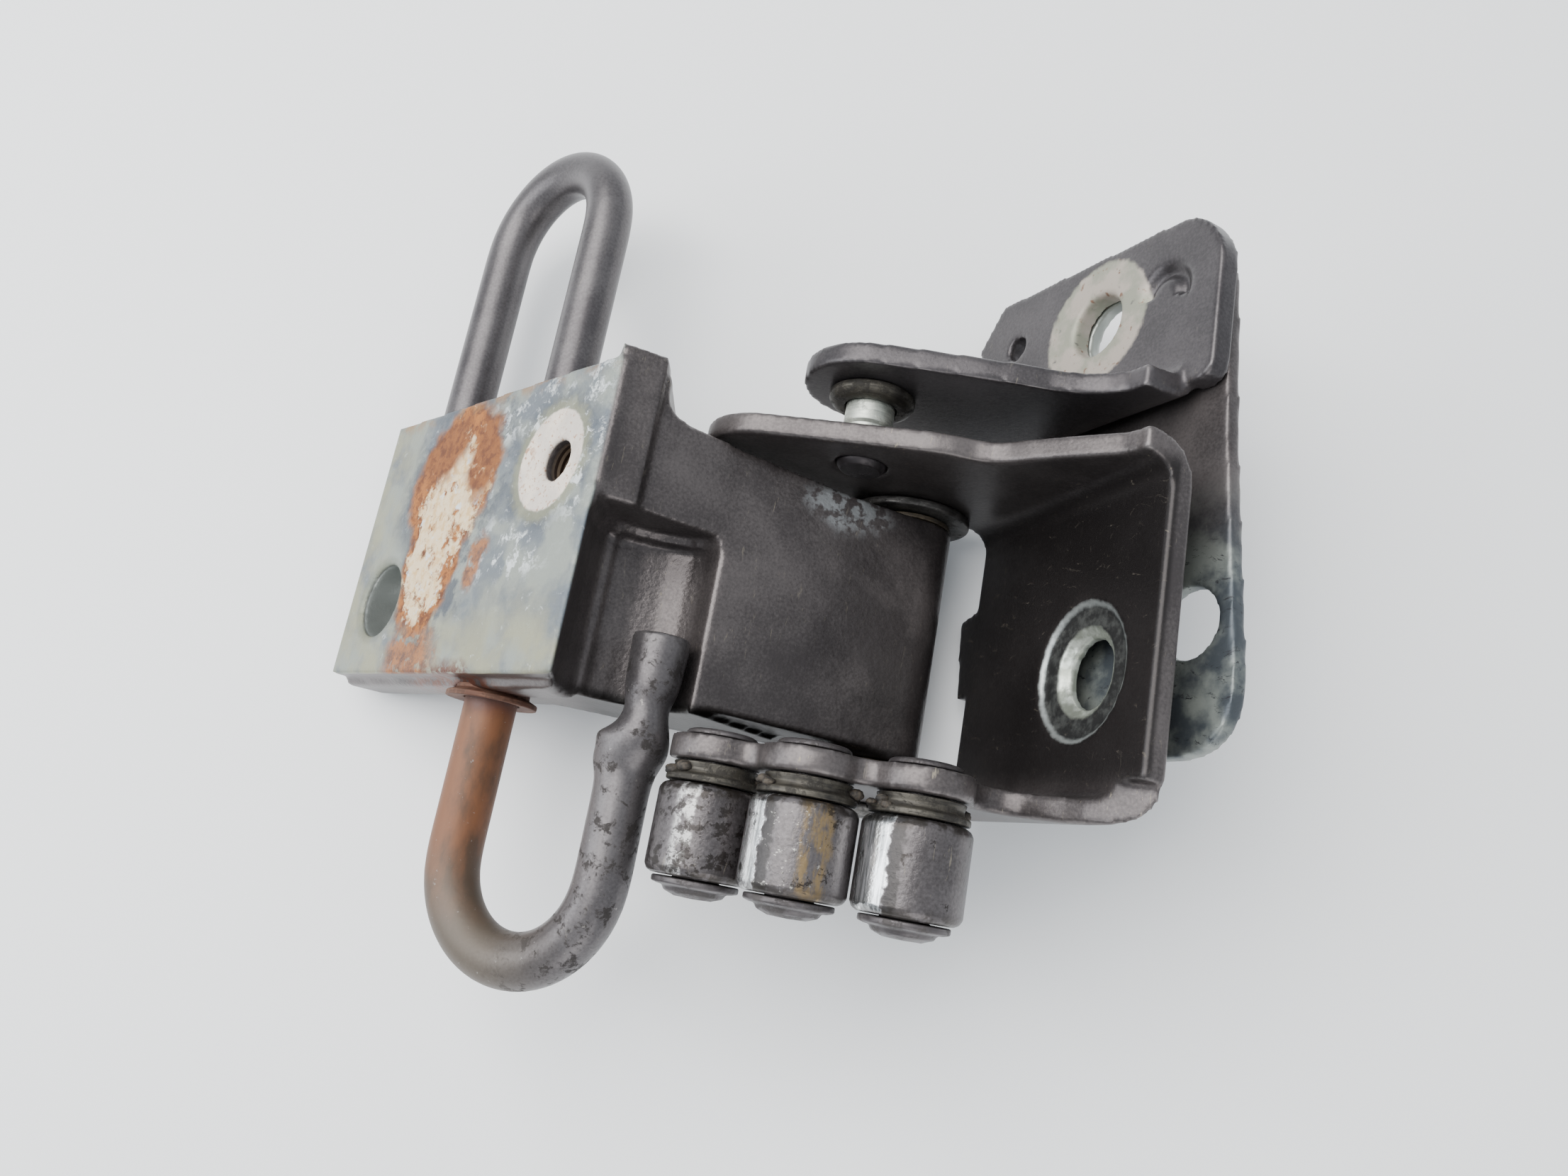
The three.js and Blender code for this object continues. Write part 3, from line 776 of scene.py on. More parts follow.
def rodRoute():
    def bend(first, second, y, sign):
        middle = (Vector(first) + Vector(second)) / 2
        half = (Vector(second) - Vector(first)) / 2
        points = []
        for step in range(1, 12):
            turn = math.pi * step / 12
            place = middle - half * math.cos(turn)
            points.append((place.x, y + sign * half.length * math.sin(turn), place.y))
        return points

    def leg(place, heights):
        return [(place[0], y, place[1]) for y in heights]

    anchor, long, free, tip = (rodLook[key] for key in ("anchor", "long", "free", "tip"))
    return [
        *leg(anchor, (33, 45, 58, 72, 86, 95, rodLook["top"])),
        *bend(anchor, long, rodLook["top"], 1),
        *leg(long, (rodLook["top"], 95, 84, 70, 50, 30, 10, -6, -16, -24, rodLook["bottom"])),
        *bend(long, free, rodLook["bottom"], -1),
        *leg(free, (rodLook["bottom"], -25, -19, -14, -11)),
        ((free[0] * 0.7 + tip[0] * 0.3), -8.5, (free[1] * 0.7 + tip[1] * 0.3)),
        ((free[0] * 0.2 + tip[0] * 0.8), -5.0, (free[1] * 0.2 + tip[1] * 0.8)),
        *leg(tip, (-2, 2, 7, rodLook["tipHeight"])),
    ]


def makeRod():
    path = bpy.data.curves.new("rodPath", "CURVE")
    path.dimensions = "3D"
    path.bevel_depth = rodLook["radius"]
    path.bevel_resolution = 10
    path.use_fill_caps = True
    path.resolution_u = 6
    spline = path.splines.new("NURBS")
    points = rodRoute()
    spline.points.add(len(points) - 1)
    for point, place in zip(spline.points, points):
        point.co = (*place, 1)
    spline.use_endpoint_u = True
    spline.order_u = 3
    carrier = bpy.data.objects.new("rodPath", path)
    scene.collection.objects.link(carrier)
    bpy.context.view_layer.update()
    mesh = bpy.data.meshes.new_from_object(carrier.evaluated_get(bpy.context.evaluated_depsgraph_get()))
    bpy.data.objects.remove(carrier)
    bm = bmesh.new()
    bm.from_mesh(mesh)
    bpy.data.meshes.remove(mesh)
    bmesh.ops.remove_doubles(bm, verts=bm.verts, dist=0.01)
    bmesh.ops.recalc_face_normals(bm, faces=bm.faces)
    # the free leg's pinch and its forged swellings, one above the other
    for vert in bm.verts:
        if vert.co.y > 14 or vert.co.x < -58:
            continue
        pinch = math.exp(-(((vert.co.y + 1.0) / 3.0) ** 2))
        swell = math.exp(-(((vert.co.y + 9.0) / 3.4) ** 2))
        middle = Vector((-43.4, 0, 24.4))
        away = Vector((vert.co.x - middle.x, 0, vert.co.z - middle.z))
        if vert.co.y > -20:
            flare = max(0, min(1, (vert.co.y - 5) / 6))
            vert.co.x += away.x * (0.24 * swell - 0.20 * pinch + 0.06 * flare)
            vert.co.z += away.z * (0.06 * swell - 0.14 * pinch)
            burr = math.exp(-(((vert.co.y + 6.0) / 1.5) ** 2)) * max(0, -away.x - 3.0) * 0.8
            vert.co.x -= burr
    obj = asObject("torsionRod", bm)
    settle(obj, 0.6, 5)
    return obj


def rodMaterial():
    settings = dict(
        paintLook, dark=(0.070, 0.063, 0.066), light=(0.125, 0.116, 0.118), dusty=0.2, roughness=0.24
    )
    material, tree, shader, vector, colour, rough = paintMaterial("rodPaint", settings, 0.12)
    ragged = wobble(tree, vector, 0.12, 7)
    x, y = axes(tree, ragged)[:2]
    rustZone = both(tree, band(tree, y, 2, -4), band(tree, x, -46, -66))
    fade = band(tree, y, -48, -24)
    rustColour = mixColour(
        tree,
        patches(tree, stretch(tree, vector, (1, 0.4, 1)), 0.16, 6, 0.4, 0.62, 0.6),
        rodLook["rust"],
        rodLook["rustDark"],
    )
    rustColour = mixColour(tree, fade, (0.105, 0.082, 0.055), rustColour)
    rustColour = mixColour(tree, band(tree, y, -6, -1), rustColour, (0.10, 0.032, 0.018))
    share = times(tree, rustZone, mixValue(tree, fade, 0.7, 0.97))
    colour = mixColour(tree, share, colour, rustColour)
    low = axes(tree, vector)[1]
    dirtField = noise(tree, wobble(tree, vector, 0.5, 2), 0.30, 8, 0.72)
    dirt = both(
        tree, band(tree, dirtField, 0.52, 0.60), both(tree, band(tree, low, 16, 6), band(tree, x, -66, -50))
    )
    colour = tint(tree, dirt, 0.7, colour, (0.020, 0.016, 0.013))
    speck = both(tree, patches(tree, vector, 0.7, 6, 0.64, 0.70, 0.7), band(tree, low, 10, 2))
    colour = tint(tree, speck, 0.6, colour, (0.33, 0.31, 0.29))
    tree.links.new(colour, shader.inputs["Base Color"])
    rough = mixValue(tree, share, rough, 0.55)
    tree.links.new(mixValue(tree, dirt, rough, 0.75), shader.inputs["Roughness"])
    tree.links.new(mixValue(tree, share, settings["metallic"], 0.15), shader.inputs["Metallic"])
    return material


torsionRod = makeRod()
finishPiece(torsionRod, rodMaterial(), "pillar", "rod_paint", "torsion_rod")
print("torsion rod", len(torsionRod.data.polygons))


# --- roller bracket ---
channel = {
    "sheet": 4.2,
    "upper": 51.9,
    "lower": -8.4,
    "angle": 72,
    "inner": 17.6,
    "near": 61.3,
    "far": 1.4,
    "upperBend": 9.8,
    "lowerBend": 7.0,
    "hole": (41.0, 18.2),
    "rollerCircle": 40.0,
    "rollerAngles": (136, 109.5, 83),
    "locator": (-13, 22),
}
channelOuter = channel["inner"] + channel["sheet"]


def onWeb(along, out):
    return tuple(heading(channel["angle"]) * along + behind(channel["angle"]) * out)


def rollerCentre(angle):
    return tuple(heading(angle) * channel["rollerCircle"])


def bentSheet(start, angle, section, near, far):
    # a section given as (out, y) points, drawn along the wall's own direction
    points = [(near, y, out) for out, y in section]
    return extruded(points, (far - near, 0, 0), wallFrame(start, angle))


def makeRollerBracket():
    sheet = channel["sheet"]
    upper = channel["upper"]
    lower = channel["lower"]
    inner = channel["inner"]
    reach = channelOuter - channel["upperBend"]
    section = roundCorners([
        (reach, upper),
        (inner, upper, channel["upperBend"] - sheet),
        (inner, lower + sheet, channel["lowerBend"] - sheet),
        (reach, lower + sheet),
        (reach, lower),
        (channelOuter, lower, channel["lowerBend"]),
        (channelOuter, upper + sheet, channel["upperBend"]),
        (reach, upper + sheet),
    ])
    trough = bentSheet((0, 0), channel["angle"], section, channel["far"], channel["near"])
    heel = wall(
        (0, 0),
        channel["angle"],
        roundCorners([(4, 16.4), (-2.2, 16.8, 0.6), (-5.4, 33.8, 1.5), (4, 35.6)]),
        inner,
        channelOuter,
    )
    upperPlan = [
        *arc((-30, 17.2), 13, 104, 190, 14),
        *arc((0, 0), 13.5, 235, 300, 10),
        onWeb(channel["far"], reach + 0.5),
        onWeb(channel["near"], reach + 0.5),
        (28.2, 50.2),
        *[(20.5, 44.6), (14.5, 39.9), (11.6, 37.4), (9.2, 36.0), (6.0, 35.5), (2.0, 36.0), (-1.5, 35.9)],
    ]
    first, second, third = channel["rollerAngles"]
    lowerPlan = []
    for angle, gap in ((first, (first + second) / 2), (second, (second + third) / 2), (third, None)):
        centre = rollerCentre(angle)
        lowerPlan += arc(centre, 8.5, angle + 56, angle - 56, 14)
        if gap:
            lowerPlan += arc((0, 0), 43.0, gap + 1.6, gap - 1.6, 3)
    lowerPlan += [
        *[(14.2, 36.2), (16.2, 34.8), (19.0, 34.3), (22.0, 35.3), (25.4, 38.4)],
        onWeb(channel["near"] - 3.2, reach + 0.5),
        onWeb(channel["far"], reach + 0.5),
        *arc((0, 0), 13.5, 300, 215, 12),
        (-33, 17),
    ]
    hole = channel["hole"]
    pinHole = 4.9
    bendTrim = prism(
        [(24.5, 37.6), (27.6, 40.3), (30.2, 43.4), (40.6, 52.1), (46, 75), (22, 75)], -12, -1.0
    )
    cutters = [
        bendTrim,
        post((0, 0), pinHole, -20, 70),
        post(channel["locator"], 5.0, 40, 70),
        *[post(rollerCentre(angle), 4.3, -20, 5) for angle in channel["rollerAngles"]],
        wallPost((0, 0), channel["angle"], *hole, (6.3, 6.3), 10, 30),
        wallPost((0, 0), channel["angle"], *hole, (12.9, 12.1), 16.4, inner + 1.0),
        wallPost((0, 0), channel["angle"], *hole, (8.6, 7.4), 17, inner + 2.2),
    ]
    solids = [trough, heel, prism(upperPlan, upper, upper + sheet), prism(lowerPlan, lower, lower + sheet)]
    return carved("rollerBracket", solids, cutters, 0.6, 4)


def bracketMaterial():
    settings = dict(paintLook, dusty=0.55, wear=0.6)
    material, tree, shader, _, colour, rough = paintMaterial("bracketPaint", settings)
    webSide = placed(tree, channel["angle"], (0, 0, 0))
    up, out = axes(tree, webSide)[1:]
    hole = channel["hole"]
    # the inside of the web is made nearly black, partly dark grime and partly painted shade, with a bare
    # ring round its hole
    inside = band(tree, out, -channel["inner"] - 1.8, -channel["inner"] - 0.7)
    inside = both(tree, inside, both(tree, band(tree, up, -6, 2), band(tree, up, 53.5, 50)))
    # painted shade and grime: near-black tint over the inside of the web
    colour = tint(tree, inside, 0.85, colour, (0.014, 0.012, 0.012))
    centre = (hole[0], hole[1], -channel["inner"])
    nearHole = wobble(tree, webSide, 0.5, 0.9)
    ring = spot(tree, nearHole, centre, (12.6, 12.6, 8), 0.03)
    within = spot(tree, nearHole, centre, (11.9, 11.9, 8), 0.03)
    bare = mixColour(
        tree, patches(tree, webSide, 0.4, 7, 0.42, 0.66, 0.7), (0.035, 0.036, 0.036), (0.10, 0.105, 0.10)
    )
    colour = mixColour(tree, ring, colour, mixColour(tree, within, (0.36, 0.38, 0.37), bare))
    lip = spot(tree, nearHole, (hole[0], hole[1], -channel["inner"] - 2), (8.2, 8.2, 9), 0.05)
    lipColour = mixColour(
        tree, patches(tree, webSide, 0.35, 6, 0.4, 0.6), (0.30, 0.32, 0.27), (0.55, 0.58, 0.52)
    )
    colour = mixColour(tree, lip, colour, lipColour)
    streak = noise(tree, stretch(tree, wobble(tree, webSide, 0.1, 10), (0.25, 1.3, 1)), 0.8, 7, 0.7)
    grime = both(tree, band(tree, streak, 0.60, 0.72), inside)
    colour = tint(tree, grime, 0.45, colour, (0.22, 0.19, 0.15))
    tree.links.new(colour, shader.inputs["Base Color"])
    tree.links.new(mixValue(tree, times(tree, grime, 0.6), rough, 0.85), shader.inputs["Roughness"])
    return material


bracketPaint = bracketMaterial()
rollerBracket = makeRollerBracket()
finishPiece(rollerBracket, bracketPaint, "swing", "bracket_paint", "roller_bracket")
print("roller bracket", len(rollerBracket.data.polygons))


# --- door bracket and the plate behind it ---
door = {
    "pivot": (-13, 22),
    "angle": 64,
    "tabUnder": 66.6,
    "sheet": 4.2,
    "front": 36.8,
    "plateFront": 41.3,
    "plateThick": 3.0,
    "bend": 8.0,
    "upperHole": (19.5, 90.2),
    "lowerHole": (45.6, 27.3),
    "smallHole": (-5.2, 93.8),
}
doorStart = tuple(Vector(door["pivot"]) - heading(door["angle"]) * 1.6)


def onDoor(along, out):
    return tuple(Vector(doorStart) + heading(door["angle"]) * along + behind(door["angle"]) * out)


def makeDoorBracket():
    under = door["tabUnder"]
    front = door["front"]
    back = front + door["sheet"]
    bend = door["bend"]
    face = roundCorners([
        (-10, under + bend),
        (44, under + bend),
        (44.5, under + 2.8, 1),
        (50.4, under + 2.8, 4),
        (50.4, 95, 12),
        (44.5, 104.0, 11),
        (-12, 106.5, 2.5),
        (-18.5, 98, 2),
        (-16, under + bend + 6),
    ])
    section = roundCorners([
        (back - bend - 1, under),
        (back, under, bend),
        (back, under + bend + 4),
        (front, under + bend + 4),
        (front, under + door["sheet"], bend - door["sheet"]),
        (back - bend - 1, under + door["sheet"]),
    ])
    pivot = door["pivot"]
    tabPlan = [
        *arc((pivot[0], pivot[1] + 1), 13.5, 95, 235, 22),
        onDoor(-14, front - bend + 1),
        onDoor(-10, back - bend + 1),
        onDoor(44, back - bend + 1),
        onDoor(44, front - bend),
        *[(29.4, 43.6), (26.6, 41.4), (22.4, 39.4), (17, 38.4), (11, 38.5), (4.8, 38.2), (-6, 37.3)],
    ]
    solids = [
        wall(doorStart, door["angle"], face, front, back),
        bentSheet(doorStart, door["angle"], section, -10, 44),
        prism(tabPlan, under, under + door["sheet"]),
    ]
    upper = door["upperHole"]
    small = door["smallHole"]
    cutters = [
        post(pivot, 5.0, 50, 90),
        wallPost(doorStart, door["angle"], *upper, (6.3, 6.3), front - 6, front + 12),
        wallPost(doorStart, door["angle"], *upper, (7.6, 6.0), front - 0.6, front + 1.2),
        wallPost(doorStart, door["angle"], *small, (2.6, 2.6), front - 6, front + 12),
    ]
    obj = carved("doorBracket", solids, cutters, 0.6, 4)
    # a shallow crescent pressed into the face beside the hole
    inverse = wallFrame(doorStart, door["angle"]).inverted()
    normal = wallFrame(doorStart, door["angle"]).to_3x3() @ Vector((0, 0, 1))
    for vert in obj.data.vertices:
        local = inverse @ vert.co
        if local.z > front + 1.5 or local.y < 80:
            continue
        away = Vector((local.x - 37.2, local.y - 90.0))
        turn = math.degrees(math.atan2(away.y, away.x))
        if -20 < turn < 210:
            groove = math.exp(-(((away.length - 4.4) / 1.4) ** 2))
            vert.co += normal * groove * 1.7
    return obj


def makeDoorPlate():
    front = door["plateFront"]
    outline = roundCorners([
        (5, 12, 3),
        (11, 4.5, 4),
        (58, 4.5, 13),
        (50.8, 60),
        (48, 92, 9),
        (42, 103, 6),
        (4, 102, 3),
        (0.5, 98, 2),
        (0.5, 60, 1),
        (5, 56, 2),
    ])
    solids = [wall(doorStart, door["angle"], outline, front, front + door["plateThick"])]
    cutters = []
    for hole in (door["upperHole"], door["lowerHole"]):
        cutters.append(wallPost(doorStart, door["angle"], *hole, (6.3, 6.3), front - 3, front + 8))
    return carved("doorPlate", solids, cutters, 0.6, 4)


def doorMaterial():
    # painted shade: the same paint as the casting, made darker over the whole door bracket
    settings = dict(
        paintLook, dark=(0.042, 0.038, 0.040), light=(0.082, 0.074, 0.077), dusty=0.25, wear=0.6
    )
    material, tree, shader, _, colour, rough = paintMaterial("doorPaintShaded", settings)
    side = placed(tree, door["angle"], (doorStart[0], 0, doorStart[1]))
    upper = door["upperHole"]
    ragged = wobble(tree, side, 0.5, 1.6)
    ring = spot(tree, ragged, (upper[0], upper[1], -door["front"]), (13.6, 13.2, 6), 0.04)
    ring = both(tree, ring, patches(tree, side, 0.3, 6, 0.24, 0.36))
    pale = mixColour(
        tree, patches(tree, ragged, 0.16, 6, 0.42, 0.6), (0.42, 0.37, 0.32), (0.30, 0.30, 0.24)
    )
    pale = mixColour(tree, patches(tree, side, 0.6, 6, 0.6, 0.7), pale, (0.22, 0.13, 0.09))
    colour = mixColour(tree, ring, colour, pale)
    tree.links.new(colour, shader.inputs["Base Color"])
    tree.links.new(mixValue(tree, ring, rough, 0.6), shader.inputs["Roughness"])
    return material


def plateMaterial():
    settings = dict(paintLook, dusty=0.4, wear=0.6)
    material, tree, shader, _, colour, rough = paintMaterial("plateFinish", settings)
    side = placed(tree, door["angle"], (doorStart[0], 0, doorStart[1]))
    ragged = wobble(tree, side, 0.12, 10)
    bare = band(tree, axes(tree, ragged)[1], 54, 34)
    zinc = mixColour(
        tree, patches(tree, side, 0.12, 6, 0.38, 0.62), (0.065, 0.075, 0.085), (0.24, 0.26, 0.24)
    )
    scratch = noise(tree, stretch(tree, wobble(tree, side, 0.1, 8), (0.4, 1.5, 1)), 0.6, 7, 0.75)
    zinc = mixColour(tree, band(tree, scratch, 0.56, 0.66), zinc, (0.035, 0.035, 0.04))
    colour = mixColour(tree, bare, colour, zinc)
    holeWall = spot(
        tree, side, (door["upperHole"][0], door["upperHole"][1], -door["plateFront"]), (8.5, 8.5, 9), 0.1
    )
    colour = mixColour(tree, holeWall, colour, (0.36, 0.38, 0.35))
    tree.links.new(colour, shader.inputs["Base Color"])
    tree.links.new(mixValue(tree, bare, rough, 0.45), shader.inputs["Roughness"])
    return material


doorBracket = makeDoorBracket()
finishPiece(doorBracket, doorMaterial(), "door", "bracket_paint", "door_bracket")
doorPlate = makeDoorPlate()
finishPiece(doorPlate, plateMaterial(), "door", "plate_zinc", "door_plate")
print("door bracket and plate", len(doorBracket.data.polygons), len(doorPlate.data.polygons))


# --- turned pieces ---
def steelMaterial(name, dark, light, grime, roughness=0.3, metallic=0.85, amount=0.6):
    material, tree, shader = newMaterial(name)
    vector = placed(tree)
    cloud = noise(tree, vector, 0.2, 6, 0.65)
    rings = noise(tree, stretch(tree, vector, (0.25, 3.0, 0.25)), 0.9, 3)
    shade = plus(tree, times(tree, cloud, 0.6), times(tree, rings, 0.4))
    colour = mixColour(tree, band(tree, shade, 0.38, 0.62), dark, light)
    dirt = patches(tree, wobble(tree, vector, 0.4, 2), 0.32, 7, 0.48, 0.60, 0.72)
    dirt = times(tree, dirt, amount)
    colour = mixColour(tree, dirt, colour, grime)
    tree.links.new(colour, shader.inputs["Base Color"])
    clean = plus(tree, times(tree, cloud, 0.2), roughness)
    tree.links.new(mixValue(tree, dirt, clean, 0.8), shader.inputs["Roughness"])
    tree.links.new(mixValue(tree, dirt, metallic, 0.2), shader.inputs["Metallic"])
    height = plus(tree, times(tree, dirt, 0.6), times(tree, rings, 0.1))
    setBump(tree, shader, height, 0.4, 0.0005)
    return material


def pinMaterial():
    # bare zinc where it shows between the tabs, paint on its riveted end
    material = steelMaterial(
        "pinZinc", (0.35, 0.37, 0.33), (0.62, 0.64, 0.57), (0.16, 0.15, 0.12), 0.32, 0.8, 0.35
    )
    tree = material.node_tree
    shader = tree.nodes["Principled BSDF"]
    zinc = shader.inputs["Base Color"].links[0].from_socket
    height = axes(tree, placed(tree))[1]
    painted = mixColour(tree, band(tree, height, 54, 56), (0.05, 0.044, 0.046), zinc)
    tree.links.new(painted, shader.inputs["Base Color"])
    return material


turnedLook = {
    "rollerTop": -12.3,
    "rollerBottom": -27.5,
    "rollerRadius": 9.0,
    "headBottom": -30.8,
    "tabUnder": -8.4,
    "tabTop": -4.2,
}
# dark, light and grime colours, then roughness, metallic and how much grime
steelLook = {
    "pinSteel": ((0.08, 0.075, 0.07), (0.2, 0.19, 0.18), (0.03, 0.027, 0.023), 0.35, 0.7),
    "washerSteel": ((0.04, 0.038, 0.036), (0.11, 0.105, 0.1), (0.02, 0.018, 0.016), 0.3, 0.7),
    "bushBronze": ((0.05, 0.04, 0.03), (0.10, 0.08, 0.055), (0.02, 0.017, 0.014), 0.45, 0.6),
    "clipRust": ((0.085, 0.034, 0.02), (0.17, 0.085, 0.055), (0.04, 0.02, 0.013), 0.6, 0.3, 0.5),
    "greasySteel": (
        (0.028, 0.025, 0.022), (0.085, 0.077, 0.062), (0.018, 0.015, 0.012), 0.35, 0.6, 0.8
    ),
    "rivetPaint": ((0.05, 0.044, 0.046), (0.10, 0.09, 0.092), (0.03, 0.025, 0.02), 0.3, 0.5, 0.5),
}
steel = {name: steelMaterial(name, *look) for name, look in steelLook.items()}
zincSteel = pinMaterial()


def rollerMaterial(name, index):
    # a worn paint skin, with bright bare metal on the side the rod rubs
    settings = dict(paintLook, dark=(0.06, 0.053, 0.054), light=(0.13, 0.118, 0.12), dusty=0.5)
    material, tree, shader, vector, colour, rough = paintMaterial(name, settings, 0.4)
    centre = rollerCentre(channel["rollerAngles"][index])
    around = placed(tree, 0, (centre[0], 0, centre[1]))
    x, y, z = axes(tree, around)
    angle = calc(tree, "ARCTAN2", z, x)
    edge = times(tree, calc(tree, "SUBTRACT", noise(tree, vector, 0.5, 5), 0.5), 0.35)
    sweep = plus(tree, angle, edge)
    if index > 0:
        lowEdge, highEdge = ((2.36, 2.95), (2.16, 2.92))[index - 1]
        bright = both(
            tree,
            band(tree, sweep, lowEdge - 0.02, lowEdge + 0.03),
            band(tree, sweep, highEdge, highEdge - 0.06),
        )
        polish = noise(tree, stretch(tree, vector, (4, 0.3, 4)), 0.5, 4)
        polish = mixColour(tree, band(tree, polish, 0.38, 0.58), (0.42, 0.43, 0.43), (0.90, 0.91, 0.92))
        colour = mixColour(tree, bright, colour, polish)
        rubbedDark = both(
            tree,
            band(tree, sweep, lowEdge - 0.30, lowEdge - 0.22),
            band(tree, sweep, lowEdge, lowEdge - 0.05),
        )
        colour = tint(tree, rubbedDark, 0.8, colour, (0.03, 0.028, 0.027))
        tree.links.new(mixValue(tree, bright, rough, 0.24), shader.inputs["Roughness"])
        tree.links.new(mixValue(tree, bright, settings["metallic"], 0.95), shader.inputs["Metallic"])
    if index == 0:
        sheen = both(tree, band(tree, sweep, 1.75, 1.85), band(tree, sweep, 2.25, 2.1))
        sheen = both(tree, sheen, patches(tree, vector, 0.5, 6, 0.42, 0.54, 0.7))
        colour = mixColour(tree, sheen, colour, (0.42, 0.41, 0.40))
    if index == 1:
        golden = both(
            tree,
            both(tree, band(tree, sweep, 0.95, 1.15), band(tree, sweep, 1.75, 1.5)),
            patches(tree, stretch(tree, vector, (1.2, 0.35, 1.2)), 0.45, 8, 0.42, 0.58, 0.7),
        )
        colour = tint(tree, golden, 0.65, colour, (0.30, 0.20, 0.075))
        chalk = both(tree, band(tree, sweep, 1.15, 1.3), patches(tree, vector, 0.6, 8, 0.58, 0.64, 0.75))
        colour = tint(tree, chalk, 0.8, colour, (0.62, 0.60, 0.55))
    scabLevel = (0.50, 0.57, 0.60)[index]
    scab = patches(tree, wobble(tree, vector, 0.5, 2), 0.3, 8, scabLevel, scabLevel + 0.05, 0.75)
    colour = tint(tree, scab, 0.85, colour, (0.018, 0.014, 0.012))
    lowBand = both(tree, band(tree, y, -25.0, -27.5), patches(tree, vector, 0.4, 6, 0.38, 0.5))
    topBand = both(tree, band(tree, y, -15.0, -12.8), patches(tree, vector, 0.4, 6, 0.42, 0.54))
    colour = tint(tree, either(tree, lowBand, topBand), 0.8, colour, (0.025, 0.02, 0.015))
    tree.links.new(colour, shader.inputs["Base Color"])
    return material


def makeRollers():
    top = turnedLook["rollerTop"]
    bottom = turnedLook["rollerBottom"]
    radius = turnedLook["rollerRadius"]
    head = turnedLook["headBottom"]
    under = turnedLook["tabUnder"]
    tabTop = turnedLook["tabTop"]
    bodies = ("roller_one", "roller_two", "roller_three")
    for index, angle in enumerate(channel["rollerAngles"]):
        centre = rollerCentre(angle)
        number = str(index + 1)
        sleeve = turned("roller" + number, centre, [
            (4.3, bottom),
            (radius - 1.3, bottom),
            (radius - 0.5, bottom + 0.4),
            (radius, bottom + 1.3),
            (radius, top - 1.3),
            (radius - 0.5, top - 0.4),
            (radius - 1.3, top),
            (4.3, top),
        ])
        finishPiece(
            sleeve,
            rollerMaterial("rollerSkin" + number, index),
            bodies[index],
            "roller_steel",
            "roller_" + number,
        )
        collar = turned("rollerCollar" + number, centre, [
            (4.3, top + 0.3),
            (8.3, top + 0.3),
            (8.3, top + 1.3),
            (7.3, top + 1.7),
            (7.0, top + 2.4),
            (7.4, under - 0.3),
            (4.3, under - 0.3),
        ])
        finishPiece(collar, steel["greasySteel"], "swing", "collar_steel", "roller_collar_" + number)
        rivet = turned("rollerRivet" + number, centre, [
            (0, head),
            (3.2, head + 0.15),
            (5.0, head + 0.8),
            (5.5, head + 1.6),
            (6.4, head + 1.7),
            (7.4, head + 2.0),
            (7.4, bottom - 0.3),
            (4.0, bottom - 0.3),
            (4.0, tabTop + 0.3),
            (6.3, tabTop + 0.3),
            (6.1, tabTop + 1.0),
            (5.4, tabTop + 1.35),
            (3.0, tabTop + 1.25),
            (0, tabTop + 1.2),
        ])
        finishPiece(rivet, steel["rivetPaint"], "swing", "rivet_paint", "roller_rivet_" + number)


def makePins():
    pinTop = channel["upper"] + channel["sheet"] + 0.3
    pinBottom = channel["lower"] - 0.3
    hingePin = turned("hingePin", (0, 0), [
        (0, pinBottom - 2),
        (5.6, pinBottom - 2),
        (7.0, pinBottom - 1.3),
        (7.4, pinBottom - 0.6),
        (7.4, pinBottom),
        (4.5, pinBottom),
        (4.5, pinTop),
        (7.4, pinTop),
        (7.4, pinTop + 0.6),
        (7.0, pinTop + 1.3),
        (5.6, pinTop + 2),
        (3.0, pinTop + 1.6),
        (0, pinTop + 1.5),
    ])
    finishPiece(hingePin, steel["pinSteel"], "swing", "pin_steel", "hinge_pin")
    for name, face, out in (("upper", 48.4, 1), ("lower", 0, -1)):
        flange = face + out * 0.3
        bush = turned(name + "Bush", (0, 0), [
            (4.8, face - out * 18),
            (5.7, face - out * 18),
            (5.7, flange),
            (8.4, flange),
            (8.4, flange + out * 0.9),
            (4.8, flange + out * 0.9),
        ], 0.15)
        finishPiece(bush, steel["bushBronze"], "pillar", "bush_bronze", name + "_bush")
        near = face + out * 1.5
        far = near + out * 1.6
        washer = turned(
            name + "ThrustWasher", (0, 0), [(4.8, near), (12.3, near), (12.3, far), (4.8, far)], 0.4
        )
        finishPiece(washer, steel["washerSteel"], "swing", "washer_steel", name + "_thrust_washer")
    long = rodLook["long"]
    clip = turned("rodClip", long, [
        (5.3, -2.6),
        (8.6, -2.9),
        (8.6, -1.9),
        (6.9, -1.2),
        (6.9, -0.3),
        (5.3, -0.3),
    ], 0.2)
    finishPiece(clip, steel["clipRust"], "pillar", "clip_steel", "rod_clip")


def greaseMaterial():
    material, tree, shader = newMaterial("oldGrease")
    vector = placed(tree)
    grain = noise(tree, vector, 0.6, 6, 0.7)
    colour = mixColour(tree, band(tree, grain, 0.4, 0.65), (0.012, 0.010, 0.009), (0.07, 0.055, 0.04))
    tree.links.new(colour, shader.inputs["Base Color"])
    shader.inputs["Roughness"].default_value = 0.7
    setBump(tree, shader, grain, 0.6, 0.0005)
    return material


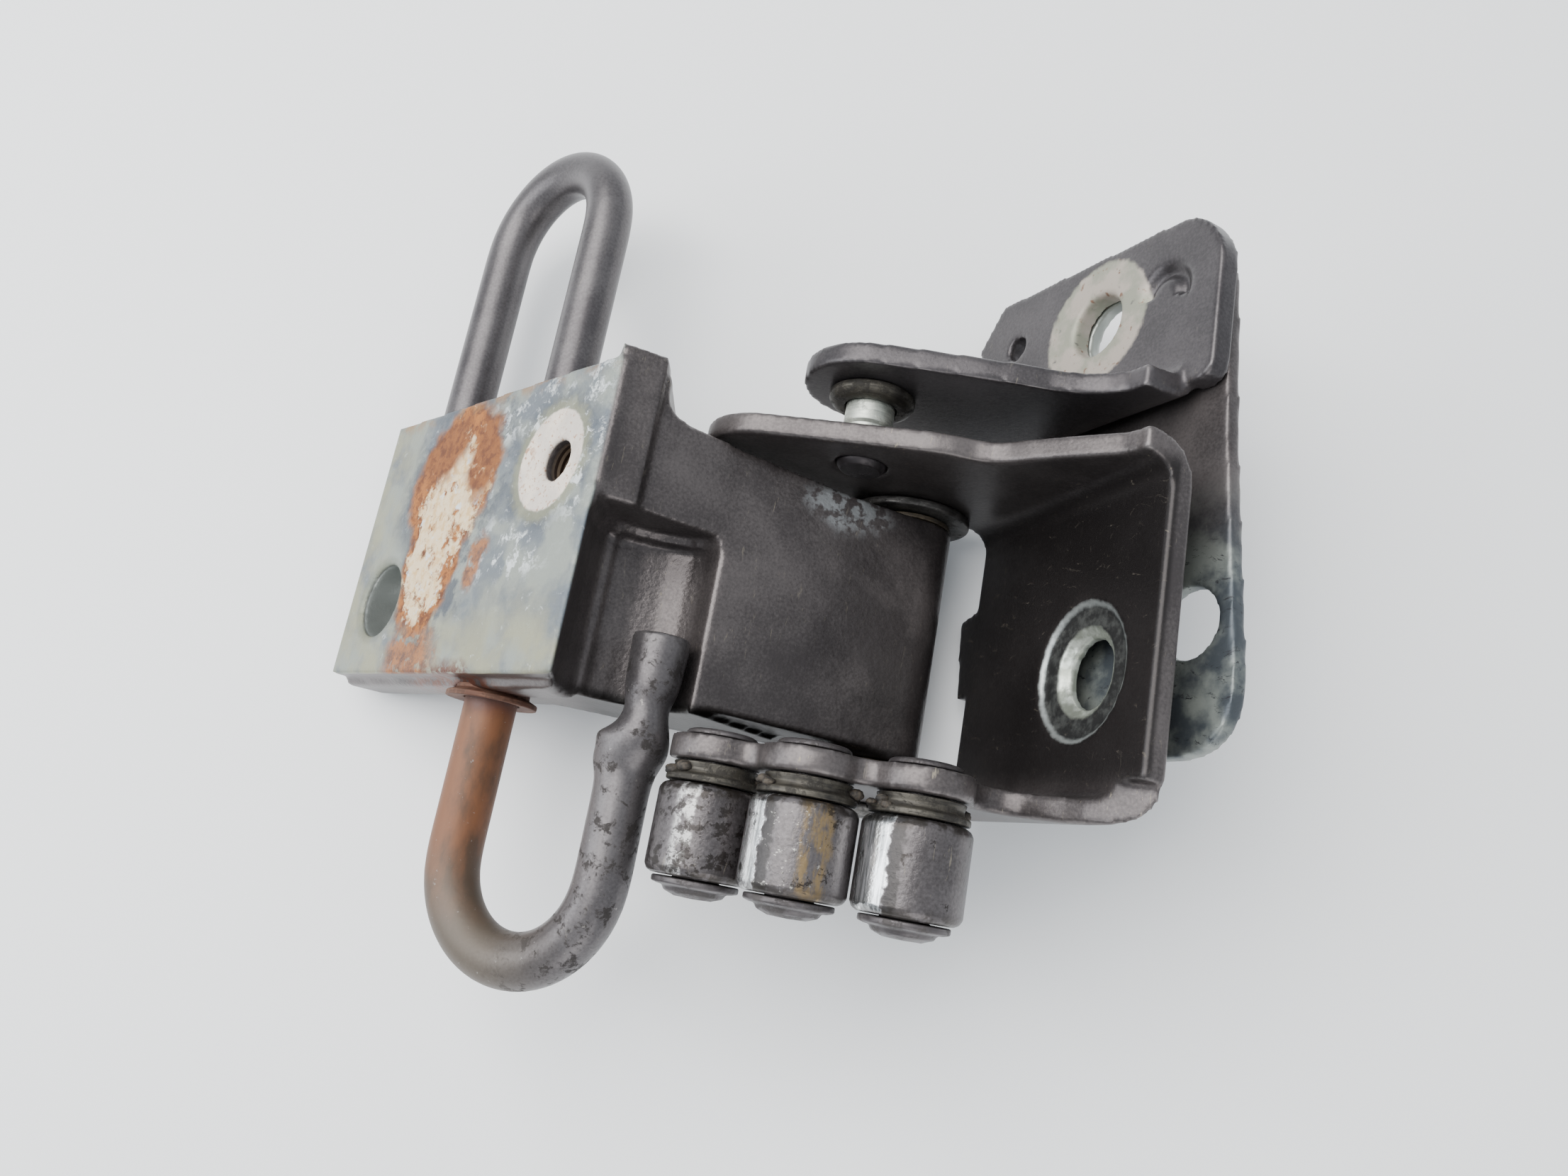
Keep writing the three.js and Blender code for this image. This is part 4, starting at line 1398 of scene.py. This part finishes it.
greaseLook = {"count": 36, "low": -11.0, "depth": 1.4, "smallest": 0.4, "largest": 1.1}


def makeGrease():
    # thick old grease in lumps round the necks, between the lobes and the rollers
    random.seed(5)
    bm = bmesh.new()
    for number in range(greaseLook["count"]):
        centre = rollerCentre(channel["rollerAngles"][number % 3])
        turn = random.uniform(2.3, 6.6)
        reach = random.uniform(7.0, 8.2)
        height = greaseLook["low"] + random.uniform(0, greaseLook["depth"])
        size = random.uniform(greaseLook["smallest"], greaseLook["largest"])
        x = centre[0] + math.cos(turn) * reach
        z = centre[1] + math.sin(turn) * reach
        spread = Matrix.Diagonal((size * 1.5, size, size * 1.2, 1))
        middle = Vector((x, height, z))
        place = Matrix.Translation(middle) @ spread
        made = bmesh.ops.create_icosphere(bm, subdivisions=3, radius=1.0, matrix=place)
        for vert in made["verts"]:
            vert.co += (vert.co - middle) * random.uniform(-0.12, 0.06)
    bmesh.ops.recalc_face_normals(bm, faces=bm.faces)
    obj = asObject("greaseLumps", bm)
    obj.data.transform(toPlace)
    obj.data.polygons.foreach_set("use_smooth", [True] * len(obj.data.polygons))
    obj.data.materials.append(greaseMaterial())
    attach(obj, "swing")


def makeLocator():
    pivot = door["pivot"]
    under = door["tabUnder"]
    pin = turned("locatingPin", pivot, [
        (0, channel["upper"] - 0.9),
        (3.8, channel["upper"] - 0.9),
        (4.4, channel["upper"] - 0.3),
        (4.7, channel["upper"] + 0.2),
        (4.7, 57.6),
        (4.2, 58.2),
        (4.2, 59.4),
        (4.7, 60.0),
        (4.7, under + 4.2),
        (3.9, under + 5.1),
        (0, under + 5.1),
    ], 0.15)
    finishPiece(pin, zincSteel, "swing", "locator_zinc", "locating_pin")
    collar = turned("locatingCollar", pivot, [
        (5.0, under - 2.9),
        (6.6, under - 2.9),
        (7.6, under - 2.4),
        (8.3, under - 1.5),
        (8.3, under - 0.3),
        (5.0, under - 0.3),
    ], 0.3)
    finishPiece(collar, steel["greasySteel"], "door", "collar_steel", "locating_collar")


makeRollers()
makePins()
makeLocator()
makeGrease()
print("rollers, pins, bushes and grease")
